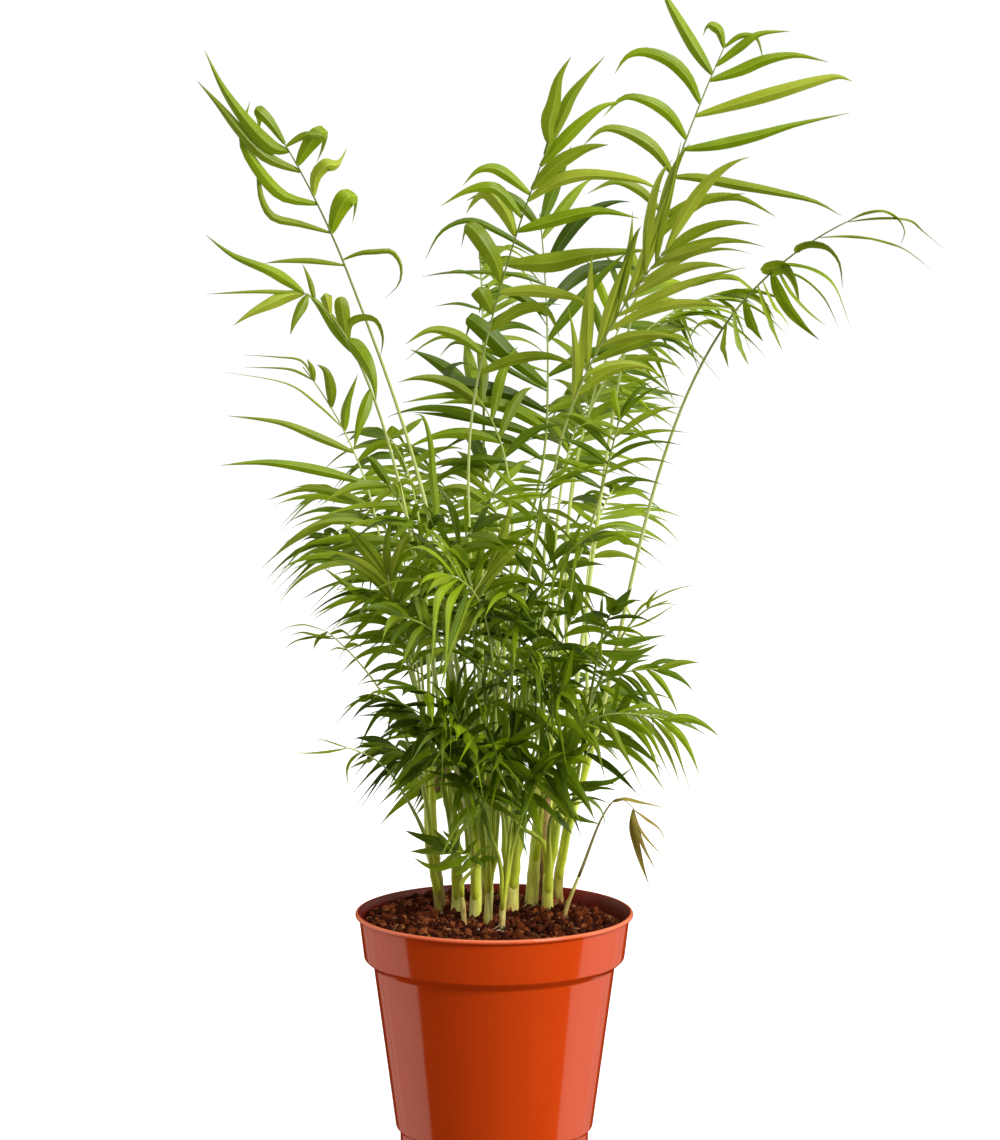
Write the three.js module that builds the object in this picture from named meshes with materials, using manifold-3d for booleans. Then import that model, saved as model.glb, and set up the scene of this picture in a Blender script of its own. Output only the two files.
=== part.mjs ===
// Parlour palm in a plastic nursery pot.
// Millimetres, +Z up, origin at the centre of the pot's underside.
import * as THREE from 'three';
import { mergeVertices } from 'three/addons/utils/BufferGeometryUtils.js';
import Module from 'manifold-3d';

const wasm = await Module();
wasm.setup();
const { Manifold, Mesh } = wasm;

const gap = 0.36;                       // clear space between any two pieces
const least = { apart: 0.01, edge: 0.02, height: 0.0015 };      // of the points and faces of a frond

// radii but for height, band (the tall collar under the rim), slope (below the band), footHeight,
// step (above the foot), wall and floor
const pot = {
  height: 105, rim: 60, bead: 2.1, lip: 58.4, band: 20, bandFoot: 56.2, slope: 3.2, shoulder: 52.2,
  bodyFoot: 42.6, foot: 40.6, footHeight: 9, step: 1.6, wall: 1.25, floor: 1.7, sides: 40,
  drains: 6, drainAt: 27, drainSize: 7,
};

// level: its top. dish: how far the edge falls, lump: how uneven the top is. Each stem stands in a
// socket that is wider than the stem all round
const soil = {
  level: 98, dish: 1.2, lump: 0.75, rings: 4, sides: 30, socket: 1.3, socketDepth: 2.6, clear: 0.42,
};

// foot is where a stem stands on the soil, head is its cut top; girths are diameters
const stems = [
  { name: 'stem_a', foot: [-23, 24], head: [-27, 20, 150], girth: 5.4, neck: 3.8, bow: -1.5 },
  { name: 'stem_b', foot: [-16.5, 19], head: [-20, 8, 165], girth: 5.2, neck: 3.4, bow: 1 },
  { name: 'stem_c', foot: [-13, -2], head: [-14, -4, 116], girth: 2.4, neck: 1.9, bow: 0 },
  { name: 'stem_d', foot: [-8.5, 14], head: [-11, 10, 168], girth: 5.2, neck: 3.4, bow: 1 },
  { name: 'stem_e', foot: [-5, 35], head: [-5, 40, 160], girth: 5, neck: 3.2, bow: 1.5 },
  { name: 'stem_f', foot: [-3, 0], head: [-2, -3, 152], girth: 3.6, neck: 2.8, bow: 0.8 },
  { name: 'stem_g', foot: [3, -6], head: [6, -9, 140], girth: 2.8, neck: 2.2, bow: 0.5 },
  { name: 'stem_h', foot: [7, 24], head: [9, 16, 166], girth: 6.8, neck: 4.2, bow: 0.6 },
  { name: 'stem_i', foot: [16, 33], head: [20, 25, 160], girth: 6, neck: 3.8, bow: 0.8 },
  { name: 'stem_j', foot: [20, 46], head: [24, 56, 152], girth: 5, neck: 3.4, bow: 0.6 },
  { name: 'stem_k', foot: [23.5, 27], head: [29, 21, 158], girth: 5, neck: 3.4, bow: -0.8 },
  { name: 'stem_l', foot: [28, 38], head: [38, 33, 154], girth: 4.8, neck: 3.2, bow: -1 },
  { name: 'stem_m', foot: [30, 13], head: [38, 9, 122], girth: 2, neck: 1.6, bow: 0.4 },
];

// stem and at: where the stalk leaves its stem (at 1 carries on from the head). hold: how long the
// stalk keeps to the line of its stem. neck: where the leaflets begin. tip: the far end of the rib.
// arch lifts the rib between them.
// face: azimuth and height, in degrees, that the upper side looks to. vee folds the two rows up.
// leaf and width: the longest leaflet. slant: leaflet to rib, at the neck and at the tip. droop: sag.
// left and right give a row of leaflets figures of its own, shift moves a row along the rib by a
// share of its spacing, and end is the length and slant of each leaflet of the last pair.
const fronds = [
  { name: 'left_tall', stem: 'stem_d', at: 1, neck: [-62, 2, 380], tip: [-88, -14, 436], arch: 0,
    hold: 1.5, face: [-90, 0], vee: 0, pairs: 5, leaf: 52, width: 5.4, slant: [50, 26], droop: -0.3,
    right: { vee: 46, leaf: 46, droop: 0.62, slant: [44, 30], width: 7 }, end: [[50, 17], [24, 4]] },
  { name: 'left_bright', stem: 'stem_b', at: 1, neck: [-59, -40, 352], tip: [-78, -66, 377], arch: 0,
    face: [-90, 10], vee: 0, pairs: 3, leaf: 42, width: 5.6, slant: [98, 56], droop: 0.04,
    right: { vee: 45, leaf: 34, droop: 0.7, slant: [50, 40] }, end: [[45, 22], [22, 30]] },
  { name: 'left_wide', stem: 'stem_a', at: 1, neck: [-50, 20, 268], tip: [-83, 40, 337], arch: 0.9,
    face: [-90, 5], vee: 4, pairs: 6, leaf: 60, width: 5, slant: [58, 30], droop: 0.2,
    right: { vee: 40, leaf: 42, droop: 0.4, slant: [46, 34], width: 6.4 }, end: [[25, 36], [24, 20]] },
  { name: 'left_shoulder', stem: 'stem_d', at: 0.64, neck: [-27, -14, 252], tip: [-44, -34, 294],
    arch: 0.08, face: [-90, 10], vee: 4, pairs: 4, leaf: 56, width: 5.6, slant: [50, 44], droop: 0.26,
    right: { vee: 30, leaf: 36, droop: 0.6, slant: [50, 34] }, end: [[36, 60], [30, 10]] },
  { name: 'left_fan', stem: 'stem_b', at: 0.8, neck: [-39, -8, 222], tip: [-45, -20, 254], arch: 0.05,
    face: [-90, 10], vee: 6, pairs: 5, leaf: 42, width: 5.6, slant: [60, 26], droop: 0.1 },
  { name: 'left_low', stem: 'stem_a', at: 0.7, neck: [-43, -22, 196], tip: [-70, -40, 233], arch: 0.16,
    face: [10, 45], vee: 12, pairs: 6, leaf: 28, width: 5.4, slant: [52, 26], droop: 0.42,
    end: [[30, 24], [28, 8]] },
  { name: 'left_hanging', stem: 'stem_a', at: 0.4, neck: [-41, -18, 164], tip: [-63, -36, 183],
    arch: 0.4, face: [10, 60], vee: -8, pairs: 5, leaf: 22, width: 5, slant: [60, 30], droop: 0.6,
    end: [[24, 14], [22, 10]] },
  { name: 'left_foot', stem: 'stem_c', at: 1, neck: [-8, -10, 128], tip: [-19, -24, 136], arch: 0.3,
    face: [-120, 55], vee: -4, pairs: 3, leaf: 30, width: 6, slant: [56, 30], droop: 0.12 },
  { name: 'left_inner', stem: 'stem_b', at: 0.55, neck: [-20, -30, 223], tip: [-38, -48, 240], arch: 0.3,
    face: [-120, 60], vee: -10, pairs: 5, leaf: 34, width: 6, slant: [60, 34], droop: 0.45 },
  { name: 'left_tuft', stem: 'stem_b', at: 0.3, neck: [-29, -26, 188], tip: [-39, -42, 203], arch: 0.3,
    face: [-120, 55], vee: -8, pairs: 4, leaf: 25, width: 6, slant: [64, 34], droop: 0.3 },
  { name: 'right_tall', stem: 'stem_k', at: 1, neck: [66, 34, 386], tip: [100, 52, 476], arch: 0,
    face: [-90, 0], vee: 0, pairs: 6, leaf: 76, width: 6.6, slant: [56, 48], droop: 0.14,
    left: { droop: 0.68, slant: [60, 50], leaf: 80, width: 6 }, shift: [0.2, 0.85],
    end: [[58, 46], [20, -20]] },
  { name: 'middle_tall', stem: 'stem_f', at: 1, neck: [-7, 6, 335], tip: [23, -24, 436], arch: -0.1,
    face: [-80, 0], vee: 6, pairs: 6, leaf: 66, width: 7.4, slant: [64, 30], droop: 0.1,
    left: { droop: 0.7, slant: [44, 30], leaf: 46, vee: 20, width: 7.6 } },
  { name: 'middle_back', stem: 'stem_e', at: 1, neck: [23, 56, 312], tip: [20, 84, 401], arch: 0.05,
    face: [-90, 5], vee: 0, pairs: 6, leaf: 58, width: 8, slant: [52, 30], droop: 0.5,
    right: { slant: [62, 34], droop: 0.2, leaf: 62 } },
  { name: 'young_spear', stem: 'stem_i', at: 1, neck: [33, -18, 326], tip: [72, -44, 394], arch: 0.03,
    face: [-90, 0], vee: 6, pairs: 5, leaf: 70, width: 6.2, slant: [27, 10], droop: 0.02,
    right: { slant: [38, 28], leaf: 58, droop: 0.12 } },
  { name: 'right_back', stem: 'stem_j', at: 1, neck: [42, 60, 318], tip: [65, 96, 366], arch: 0.06,
    face: [-70, 10], vee: 0, pairs: 5, leaf: 48, width: 7, slant: [60, 34], droop: 0.3 },
  { name: 'right_arching', stem: 'stem_l', at: 1, neck: [95, -26, 358], tip: [145, -52, 405], arch: 0.1,
    face: [100, 80], vee: -34, pairs: 6, leaf: 42, width: 6.4, slant: [50, 26], droop: 0.6,
    end: [[42, 12], [38, 14]] },
  { name: 'right_behind', stem: 'stem_k', at: 0.75, neck: [47, 36, 330], tip: [101, 66, 368], arch: 0.16,
    face: [120, 80], vee: -28, pairs: 7, leaf: 40, width: 6, slant: [54, 26], droop: 0.45 },
  { name: 'right_edge', stem: 'stem_h', at: 1, neck: [45, -34, 292], tip: [52, -52, 324], arch: 0.1,
    face: [-70, 50], vee: -8, pairs: 6, leaf: 36, width: 5, slant: [70, 40], droop: 0.12 },
  { name: 'right_thin', stem: 'stem_k', at: 0.5, neck: [55, -24, 230], tip: [73, -40, 246], arch: 0.2,
    face: [-60, 75], vee: -4, pairs: 5, leaf: 30, width: 4.6, slant: [50, 24], droop: 0.06 },
  { name: 'right_arcs', stem: 'stem_l', at: 0.7, neck: [40, -10, 201], tip: [69, -28, 215], arch: 0.25,
    face: [-80, 70], vee: -10, pairs: 6, leaf: 26, width: 5.4, slant: [58, 28], droop: 0.4 },
  { name: 'right_low', stem: 'stem_i', at: 0.55, neck: [35, -26, 189], tip: [71, -44, 196], arch: 0.3,
    face: [-85, 72], vee: -16, pairs: 6, leaf: 33, width: 5.6, slant: [56, 24], droop: 0.45 },
  { name: 'right_foot', stem: 'stem_k', at: 0.35, neck: [25, 2, 147], tip: [35, -14, 160], arch: 0.2,
    face: [-70, 60], vee: -6, pairs: 3, leaf: 26, width: 6.4, slant: [62, 34], droop: 0.3 },
  { name: 'right_tuft', stem: 'stem_l', at: 0.45, neck: [44, -34, 224], tip: [49, -50, 243], arch: 0.2,
    face: [-70, 50], vee: -6, pairs: 4, leaf: 26, width: 6.4, slant: [60, 34], droop: 0.26 },
  { name: 'right_dry', stem: 'stem_m', at: 1, neck: [51, 0, 153], tip: [60, -8, 151], arch: 0.5,
    thin: 0.6, dry: true, face: [0, 85], vee: -30, pairs: 2, leaf: 29, width: 4.4, slant: [40, 30], droop: 1,
    end: [[26, 20], [24, 12]] },
  { name: 'inner_young', stem: 'stem_d', at: 0.3, neck: [-17, -30, 224], tip: [-3, -36, 258], arch: 0.1,
    face: [-90, 10], vee: 10, pairs: 3, leaf: 42, width: 4.6, slant: [24, 18], droop: 0 },
  { name: 'middle_a', stem: 'stem_g', at: 1, neck: [2, -20, 217], tip: [11, -42, 240], arch: 0.2,
    face: [-90, 45], vee: 0, pairs: 4, leaf: 36, width: 6, slant: [70, 36], droop: 0.2 },
  { name: 'middle_b', stem: 'stem_d', at: 0.4, neck: [-20, -22, 249], tip: [-9, -40, 276], arch: 0.2,
    face: [-90, 35], vee: 0, pairs: 5, leaf: 38, width: 5.6, slant: [60, 30], droop: 0.2 },
  { name: 'middle_c', stem: 'stem_h', at: 0.35, neck: [18, -4, 232], tip: [24, -16, 260], arch: 0.2,
    face: [-90, 35], vee: 0, pairs: 4, leaf: 38, width: 6, slant: [64, 34], droop: 0.24 },
  { name: 'middle_d', stem: 'stem_d', at: 0.55, neck: [-13, -16, 180], tip: [-17, -36, 203], arch: 0.2,
    face: [-90, 40], vee: 0, pairs: 4, leaf: 32, width: 6, slant: [66, 34], droop: 0.24 },
  { name: 'middle_e', stem: 'stem_h', at: 0.6, neck: [22, -30, 190], tip: [29, -48, 211], arch: 0.2,
    face: [-80, 45], vee: 0, pairs: 4, leaf: 34, width: 6, slant: [66, 34], droop: 0.24 },
  { name: 'middle_f', stem: 'stem_e', at: 0.7, neck: [5, 34, 296], tip: [-9, 44, 326], arch: 0.2,
    face: [-90, 20], vee: 0, pairs: 4, leaf: 48, width: 7.6, slant: [60, 30], droop: 0.3 },
  { name: 'hub_low', stem: 'stem_g', at: 0.7, neck: [2, -34, 173], tip: [5, -52, 188], arch: 0.2,
    face: [-90, 45], vee: 0, pairs: 4, leaf: 32, width: 7, slant: [74, 40], droop: 0.2 },
  { name: 'hub_high', stem: 'stem_f', at: 0.8, neck: [18, -30, 277], tip: [21, -58, 298], arch: 0.2,
    face: [-90, 45], vee: 0, pairs: 6, leaf: 46, width: 6, slant: [74, 36], droop: 0.22 },
];

// the rest of the crown: fronds that go up and out from a stem at a set turn, reach and rise
const rest = [
  { name: 'front_high', stem: 'stem_h', at: 0.8, turn: -108, reach: 40, rise: 104, rib: 46, leaf: 42 },
  { name: 'front_mid', stem: 'stem_h', at: 0.55, turn: -92, reach: 52, rise: 92, rib: 44, leaf: 38 },
  { name: 'front_hub', stem: 'stem_f', at: 0.5, turn: -128, reach: 44, rise: 66, rib: 38, leaf: 34 },
  { name: 'front_left', stem: 'stem_d', at: 0.8, turn: -116, reach: 44, rise: 104, rib: 44, leaf: 40 },
  { name: 'back_high', stem: 'stem_e', at: 0.8, turn: 92, reach: 46, rise: 196, rib: 76, leaf: 52 },
  { name: 'back_right', stem: 'stem_j', at: 0.8, turn: 66, reach: 40, rise: 150, rib: 66, leaf: 46 },
  { name: 'back_left', stem: 'stem_a', at: 0.85, turn: 108, reach: 40, rise: 130, rib: 62, leaf: 42 },
  { name: 'back_mid', stem: 'stem_e', at: 0.55, turn: 106, reach: 46, rise: 92, rib: 54, leaf: 38 },
  { name: 'back_low', stem: 'stem_j', at: 0.5, turn: 84, reach: 44, rise: 56, rib: 46, leaf: 32 },
  { name: 'back_far', stem: 'stem_l', at: 0.85, turn: 74, reach: 46, rise: 104, rib: 56, leaf: 40 },
  { name: 'back_foot', stem: 'stem_e', at: 0.35, turn: 130, reach: 34, rise: 40, rib: 40, leaf: 30 },
];

const rad = (degrees) => degrees * Math.PI / 180;
const add = (a, b) => [a[0] + b[0], a[1] + b[1], a[2] + b[2]];
const sub = (a, b) => [a[0] - b[0], a[1] - b[1], a[2] - b[2]];
const mul = (a, s) => [a[0] * s, a[1] * s, a[2] * s];
const dot = (a, b) => a[0] * b[0] + a[1] * b[1] + a[2] * b[2];
const cross = (a, b) => [a[1] * b[2] - a[2] * b[1], a[2] * b[0] - a[0] * b[2], a[0] * b[1] - a[1] * b[0]];
const size = (a) => Math.sqrt(dot(a, a));
const unit = (a) => mul(a, 1 / size(a));
const square = (a, axis) => unit(sub(a, mul(axis, dot(a, axis))));

function dice(seed) {
  let state = seed;
  return () => {
    state = (state * 1664525 + 1013904223) % 4294967296;
    return state / 4294967296;
  };
}

// ---- solids ----

function strip(geometry) {
  geometry.deleteAttribute('normal');
  geometry.deleteAttribute('uv');
  return geometry;
}

// the solid inside a closed geometry, with its shared points merged, or null where it is inside out
function solidOf(geometry) {
  const merged = mergeVertices(strip(geometry), 1e-4);
  const corners = Array.from(merged.index.array);
  const kept = [];
  for (let i = 0; i < corners.length; i += 3) {
    const [a, b, c] = corners.slice(i, i + 3);
    if (a !== b && b !== c && c !== a) kept.push(a, b, c);
  }
  const solid = new Manifold(new Mesh({
    numProp: 3,
    vertProperties: merged.attributes.position.array,
    triVerts: new Uint32Array(kept),
  }));
  return solid.volume() < 0 ? null : solid;
}

// a turned shape about +Z from a profile of [radius, height], listed from below
function lathe(profile, sides) {
  const points = profile.map(([radius, z]) => new THREE.Vector2(radius, z));
  return new THREE.LatheGeometry(points, sides).rotateX(Math.PI / 2);
}

// an upright cylinder from z low to z high
function post(x, y, low, high, radius, sides) {
  const geometry = new THREE.CylinderGeometry(radius, radius, high - low, sides);
  return solidOf(geometry.rotateX(Math.PI / 2).translate(x, y, (low + high) / 2));
}

// rings of equal count joined in turn, with both ends closed; a last ring of one point is a tip
function skin(rings) {
  const points = rings.flat();
  const faces = [];
  const starts = [];
  let at = 0;
  for (const ring of rings) {
    starts.push(at);
    at += ring.length;
  }
  const count = rings[0].length;
  for (let k = 1; k < count - 1; k += 1) faces.push([0, k + 1, k]);
  for (let r = 0; r + 1 < rings.length; r += 1) {
    const a = starts[r];
    const b = starts[r + 1];
    for (let k = 0; k < count; k += 1) {
      const n = (k + 1) % count;
      if (rings[r + 1].length === 1) {
        faces.push([a + k, a + n, b]);
      } else {
        faces.push([a + k, a + n, b + n], [a + k, b + n, b + k]);
      }
    }
  }
  const last = starts[starts.length - 1];
  if (rings[rings.length - 1].length > 1) {
    for (let k = 1; k < count - 1; k += 1) faces.push([last, last + k, last + k + 1]);
  }
  const geometry = new THREE.BufferGeometry();
  geometry.setAttribute('position', new THREE.BufferAttribute(new Float32Array(points.flat()), 3));
  geometry.setIndex(faces.flat());
  return solidOf(geometry);
}

// a three-sided tube along a line of points, one edge to the side that ridge gives
function tube(line, radii, ridge) {
  const rings = [];
  for (let i = 0; i < line.length; i += 1) {
    const along = unit(sub(line[Math.min(i + 1, line.length - 1)], line[Math.max(i - 1, 0)]));
    const side = mul(square(ridge, along), radii[i]);
    const other = cross(along, side);
    const ring = [];
    for (let k = 0; k < 3; k += 1) {
      const a = 2 * Math.PI * k / 3;
      ring.push(add(line[i], add(mul(side, Math.cos(a)), mul(other, Math.sin(a)))));
    }
    rings.push(ring);
  }
  return skin(rings);
}

// ---- pot ----

const bandFootZ = pot.height - pot.band;

// the wall's inner face from the lip down to the floor, as [radius, height]
const innerWall = [
  [pot.lip - pot.wall, pot.height - pot.bead - pot.wall],
  [pot.bandFoot - pot.wall, bandFootZ - 0.4],
  [pot.shoulder - pot.wall, bandFootZ - pot.slope - 0.4],
  [pot.bodyFoot - pot.wall, pot.footHeight + pot.step - 0.4],
  [pot.foot + 0.2 - pot.wall, pot.footHeight - 0.6],
  [pot.foot - pot.wall, pot.floor],
];

function potSolid() {
  const p = pot;
  const bead = (turn, radius) => [
    p.rim - p.bead / 2 + radius * Math.cos(rad(turn)),
    p.height - p.bead / 2 + radius * Math.sin(rad(turn)),
  ];
  const outer = [
    [p.foot, 0], [p.foot + 0.2, p.footHeight], [p.bodyFoot, p.footHeight + p.step],
    [p.shoulder, bandFootZ - p.slope], [p.bandFoot, bandFootZ], [p.lip, p.height - p.bead],
    ...[-40, 0, 45, 90, 140].map((turn) => bead(turn, p.bead / 2)),
  ];
  const shell = solidOf(lathe([[0, 0], ...outer, ...innerWall, [0, p.floor]], p.sides));
  const drills = [];
  for (let k = 0; k < p.drains; k += 1) {
    const a = 2 * Math.PI * (k + 0.5) / p.drains;
    const x = p.drainAt * Math.cos(a);
    drills.push(post(x, p.drainAt * Math.sin(a), -2, p.floor + 2, p.drainSize / 2, 12));
  }
  return shell.subtract(Manifold.union(drills));
}

function innerRadius(z) {
  const k = Math.max(innerWall.findIndex(([, height]) => height <= z), 1);
  const [[r1, z1], [r0, z0]] = innerWall.slice(k - 1, k + 1);
  return r0 + (r1 - r0) * (z - z0) / (z1 - z0);
}

// ---- soil ----

function soilSolid() {
  const roll = dice(41);
  const heights = [
    pot.floor + soil.clear, pot.footHeight - 0.8, pot.footHeight + pot.step - 0.1,
    bandFootZ - pot.slope - 0.7, soil.level - 0.6,
  ];
  const edge = innerRadius(soil.level) - soil.clear;
  const profile = [[0, heights[0]], ...heights.map((z) => [innerRadius(z) - soil.clear, z])];
  for (let r = soil.rings - 1; r >= 0; r -= 1) profile.push([edge * r / soil.rings, soil.level]);
  const geometry = mergeVertices(strip(lathe(profile, soil.sides)), 1e-4);
  const at = geometry.attributes.position;
  for (let i = 0; i < at.count; i += 1) {
    if (at.getZ(i) < soil.level - 0.1) continue;
    const share = Math.hypot(at.getX(i), at.getY(i)) / edge;
    const fall = soil.dish * share ** 4 * (0.6 + 0.4 * at.getX(i) / edge);
    at.setZ(i, soil.level + soil.lump * (roll() * 2 - 1) - fall);
  }
  const sockets = stems.map((s) => post(
    s.foot[0], s.foot[1], soil.level - soil.socketDepth, soil.level + 10, s.girth / 2 + soil.socket, 8,
  ));
  return solidOf(geometry).subtract(Manifold.union(sockets));
}

// ---- stems ----

const byName = Object.fromEntries(stems.map((s) => [s.name, s]));
const footZ = soil.level - soil.socketDepth + gap;

// a stem's middle line: upright at the foot, then leaning to the head, bowed sideways by bow
function stemPoint(s, t) {
  const foot = [s.foot[0], s.foot[1], footZ];
  const span = sub(s.head, foot);
  const lean = t * t * (1.6 - 0.6 * t);
  const bow = s.bow * 4 * t * (1 - t);
  return [foot[0] + span[0] * lean + bow, foot[1] + span[1] * lean, foot[2] + span[2] * t];
}

const stemRadius = (s, t) => (s.girth + (s.neck - s.girth) * t) / 2 + s.girth * 0.12 * Math.exp(-t * 14);
const stemAlong = (s, t) => unit(
  sub(stemPoint(s, Math.min(t + 0.02, 1)), stemPoint(s, Math.min(t, 0.98) - 0.02)),
);

function stemSolid(s) {
  const sides = 7;
  const steps = [0, 0.1, 0.4, 0.7, 1];
  const rings = steps.map((t) => {
    const radius = stemRadius(s, t);
    const ring = [];
    for (let k = 0; k < sides; k += 1) {
      const a = 2 * Math.PI * k / sides;
      ring.push(add(stemPoint(s, t), [radius * Math.cos(a), radius * Math.sin(a), 0]));
    }
    return ring;
  });
  return skin(rings);
}

// ---- fronds ----

// radii of a stalk where it leaves its stem, at the neck and at the tip of the rib
const stalk = { foot: 1.3, neck: 0.95, tip: 0.5, steps: 5, ribSteps: 4 };

// the rest fronds in the same terms as the named ones
function spread(r) {
  const s = byName[r.stem];
  const start = stemPoint(s, r.at);
  const out = [Math.cos(rad(r.turn)), Math.sin(rad(r.turn)), 0];
  const neck = add(start, add(mul(out, r.reach * 0.5), [0, 0, r.rise]));
  const tip = add(neck, add(mul(out, r.rib * 0.78), [0, 0, r.rib * 0.5]));
  return {
    name: r.name, stem: r.stem, at: r.at, neck, tip, arch: 0.3, face: [r.turn + 180, 70], vee: -8,
    pairs: Math.round(r.rib / 9.5), leaf: r.leaf, width: 6.6, slant: [64, 30], droop: 0.34,
  };
}

// the line of a frond: a stalk that leaves along the stem and reaches the neck, then the rib
function frondLine(f, sway, swing, stand) {
  const s = byName[f.stem];
  const along = stemAlong(s, f.at);
  let start = stemPoint(s, f.at);
  if (f.at === 1) {
    start = add(start, mul(along, stand));
  } else {
    const bearing = Math.atan2(f.neck[1] - start[1], f.neck[0] - start[0]) + rad(swing);
    const away = square([Math.cos(bearing), Math.sin(bearing), 0], along);
    start = add(start, mul(away, stemRadius(s, f.at) + stalk.foot * (f.thin ?? 1) / 2 + stand));
  }
  const run = sub(f.neck, start);
  const rib = sub(f.tip, f.neck);
  const heading = unit(add(add(unit(sub(f.tip, start)), unit(rib)), [0, 0, 2 * f.arch]));
  const first = mul(along, size(run) * (f.hold ?? 0.9));
  const last = mul(heading, size(run) * 0.9);
  const line = [];
  for (let i = 0; i <= stalk.steps; i += 1) {
    const t = i / stalk.steps;
    const a = 2 * t ** 3 - 3 * t ** 2 + 1;
    const b = t ** 3 - 2 * t ** 2 + t;
    const c = 3 * t ** 2 - 2 * t ** 3;
    const d = t ** 3 - t ** 2;
    const p = add(add(mul(start, a), mul(first, b)), add(mul(f.neck, c), mul(last, d)));
    line.push(add(p, [0, sway * 4 * t * (1 - t), 0]));
  }
  const set = mul(heading, size(rib));
  for (let i = 1; i <= stalk.ribSteps; i += 1) {
    const t = i / stalk.ribSteps;
    line.push(add(f.neck, add(mul(set, t - t * t), mul(rib, t * t))));
  }
  return line;
}

function frondRadii(f) {
  const radii = [];
  for (let i = 0; i <= stalk.steps; i += 1) {
    radii.push(stalk.foot + (stalk.neck - stalk.foot) * i / stalk.steps);
  }
  for (let i = 1; i <= stalk.ribSteps; i += 1) {
    radii.push(stalk.neck + (stalk.tip - stalk.neck) * i / stalk.ribSteps);
  }
  return radii.map((radius) => radius * (f.thin ?? 1));
}

function lookOf(f) {
  const azimuth = rad(f.face[0]);
  const height = rad(f.face[1]);
  return [Math.cos(azimuth) * Math.cos(height), Math.sin(azimuth) * Math.cos(height), Math.sin(height)];
}

// the place and heading at share s of the rib
function ribAt(line, s) {
  const whole = Math.min(Math.max(s, 0), 0.9999) * stalk.ribSteps;
  const i = stalk.steps + Math.floor(whole);
  const t = whole - Math.floor(whole);
  return [add(mul(line[i], 1 - t), mul(line[i + 1], t)), unit(sub(line[i + 1], line[i]))];
}

// every leaflet of a frond with its own small chances, drawn in order
function leafletPlan(f, seed) {
  const roll = dice(seed);
  const plan = [];
  for (let i = 0; i <= f.pairs; i += 1) {
    for (const side of [-1, 1]) {
      const own = { shift: [0.05, 0.27], ...f, ...(side < 0 ? f.left : f.right) };
      const chance = [roll(), roll(), roll(), roll(), roll()].map((v) => v * 2 - 1);
      const last = i === f.pairs;
      const s = last ? (side < 0 ? 0.985 : 0.945) : (i + own.shift[side < 0 ? 0 : 1]) / f.pairs;
      const bulge = 0.5 + 0.5 * Math.sin(Math.PI * (0.1 + 0.75 * s));
      const plainEnd = [own.leaf * 0.82, own.slant[1] * 0.7];
      const [endLength, endSlant] = f.end ? f.end[side < 0 ? 0 : 1] : plainEnd;
      plan.push({
        s, side,
        length: (last ? endLength : own.leaf * bulge) * (1 + 0.08 * chance[0]),
        width: own.width * (last ? 1.15 : 0.75 + 0.25 * bulge),
        slant: last ? endSlant : own.slant[0] + (own.slant[1] - own.slant[0]) * s + 5 * chance[1],
        lift: own.vee + 9 * chance[2],
        droop: own.droop * (1 + 0.45 * chance[3]) * (last ? 0.6 : 1),
        twist: 24 * chance[4],
      });
    }
  }
  return plan;
}

function leafletFrame(f, line, leaf, turn) {
  const [root, along] = ribAt(line, leaf.s);
  const up = square(lookOf(f), along);
  const out = mul(cross(along, up), leaf.side);
  const slant = rad(leaf.slant + turn[1]);
  const lift = rad(leaf.lift + turn[0]);
  const across = add(mul(out, Math.cos(lift)), mul(up, Math.sin(lift)));
  const heading = add(mul(along, Math.cos(slant)), mul(across, Math.sin(slant)));
  return { root, heading, up };
}

function leafletPoint(frame, leaf, length, t) {
  const p = add(frame.root, mul(frame.heading, length * t));
  return add(p, [0, 0, -leaf.droop * length * t * t]);
}

// how many times the faces, each three points, wind round a point: once inside a sound solid
function winding(faces, point) {
  let angle = 0;
  for (const face of faces) {
    const [a, b, c] = face.map((corner) => sub(corner, point));
    const [la, lb, lc] = [size(a), size(b), size(c)];
    const under = la * lb * lc + dot(a, b) * lc + dot(b, c) * la + dot(c, a) * lb;
    angle += 2 * Math.atan2(dot(a, cross(b, c)), under);
  }
  return angle / (4 * Math.PI);
}

// the faces of a solid, each three points
function facesOf(solid) {
  const mesh = solid.getMesh();
  const point = (i) => Array.from(mesh.vertProperties.slice(i * mesh.numProp, i * mesh.numProp + 3));
  const faces = [];
  for (let i = 0; i < mesh.numTri; i += 1) {
    faces.push(Array.from(mesh.triVerts.slice(3 * i, 3 * i + 3), point));
  }
  return faces;
}

// true where a solid's skin passes through itself, so that outside shows just behind a face
function folded(solid) {
  const faces = facesOf(solid);
  return faces.some(([a, b, c]) => {
    const normal = unit(cross(sub(b, a), sub(c, a)));
    return winding(faces, sub(mul(add(add(a, b), c), 1 / 3), mul(normal, 1e-4))) < 0.5;
  });
}

// a leaflet with as much of its twist as its thin skin can take
function leafletSolid(frame, leaf, length, rootRadius) {
  for (const ease of [1, 0.5, 0]) {
    const solid = leafletBlade(frame, { ...leaf, twist: leaf.twist * ease }, length, rootRadius);
    if (solid && !folded(solid)) return solid;
  }
  return null;
}

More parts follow.
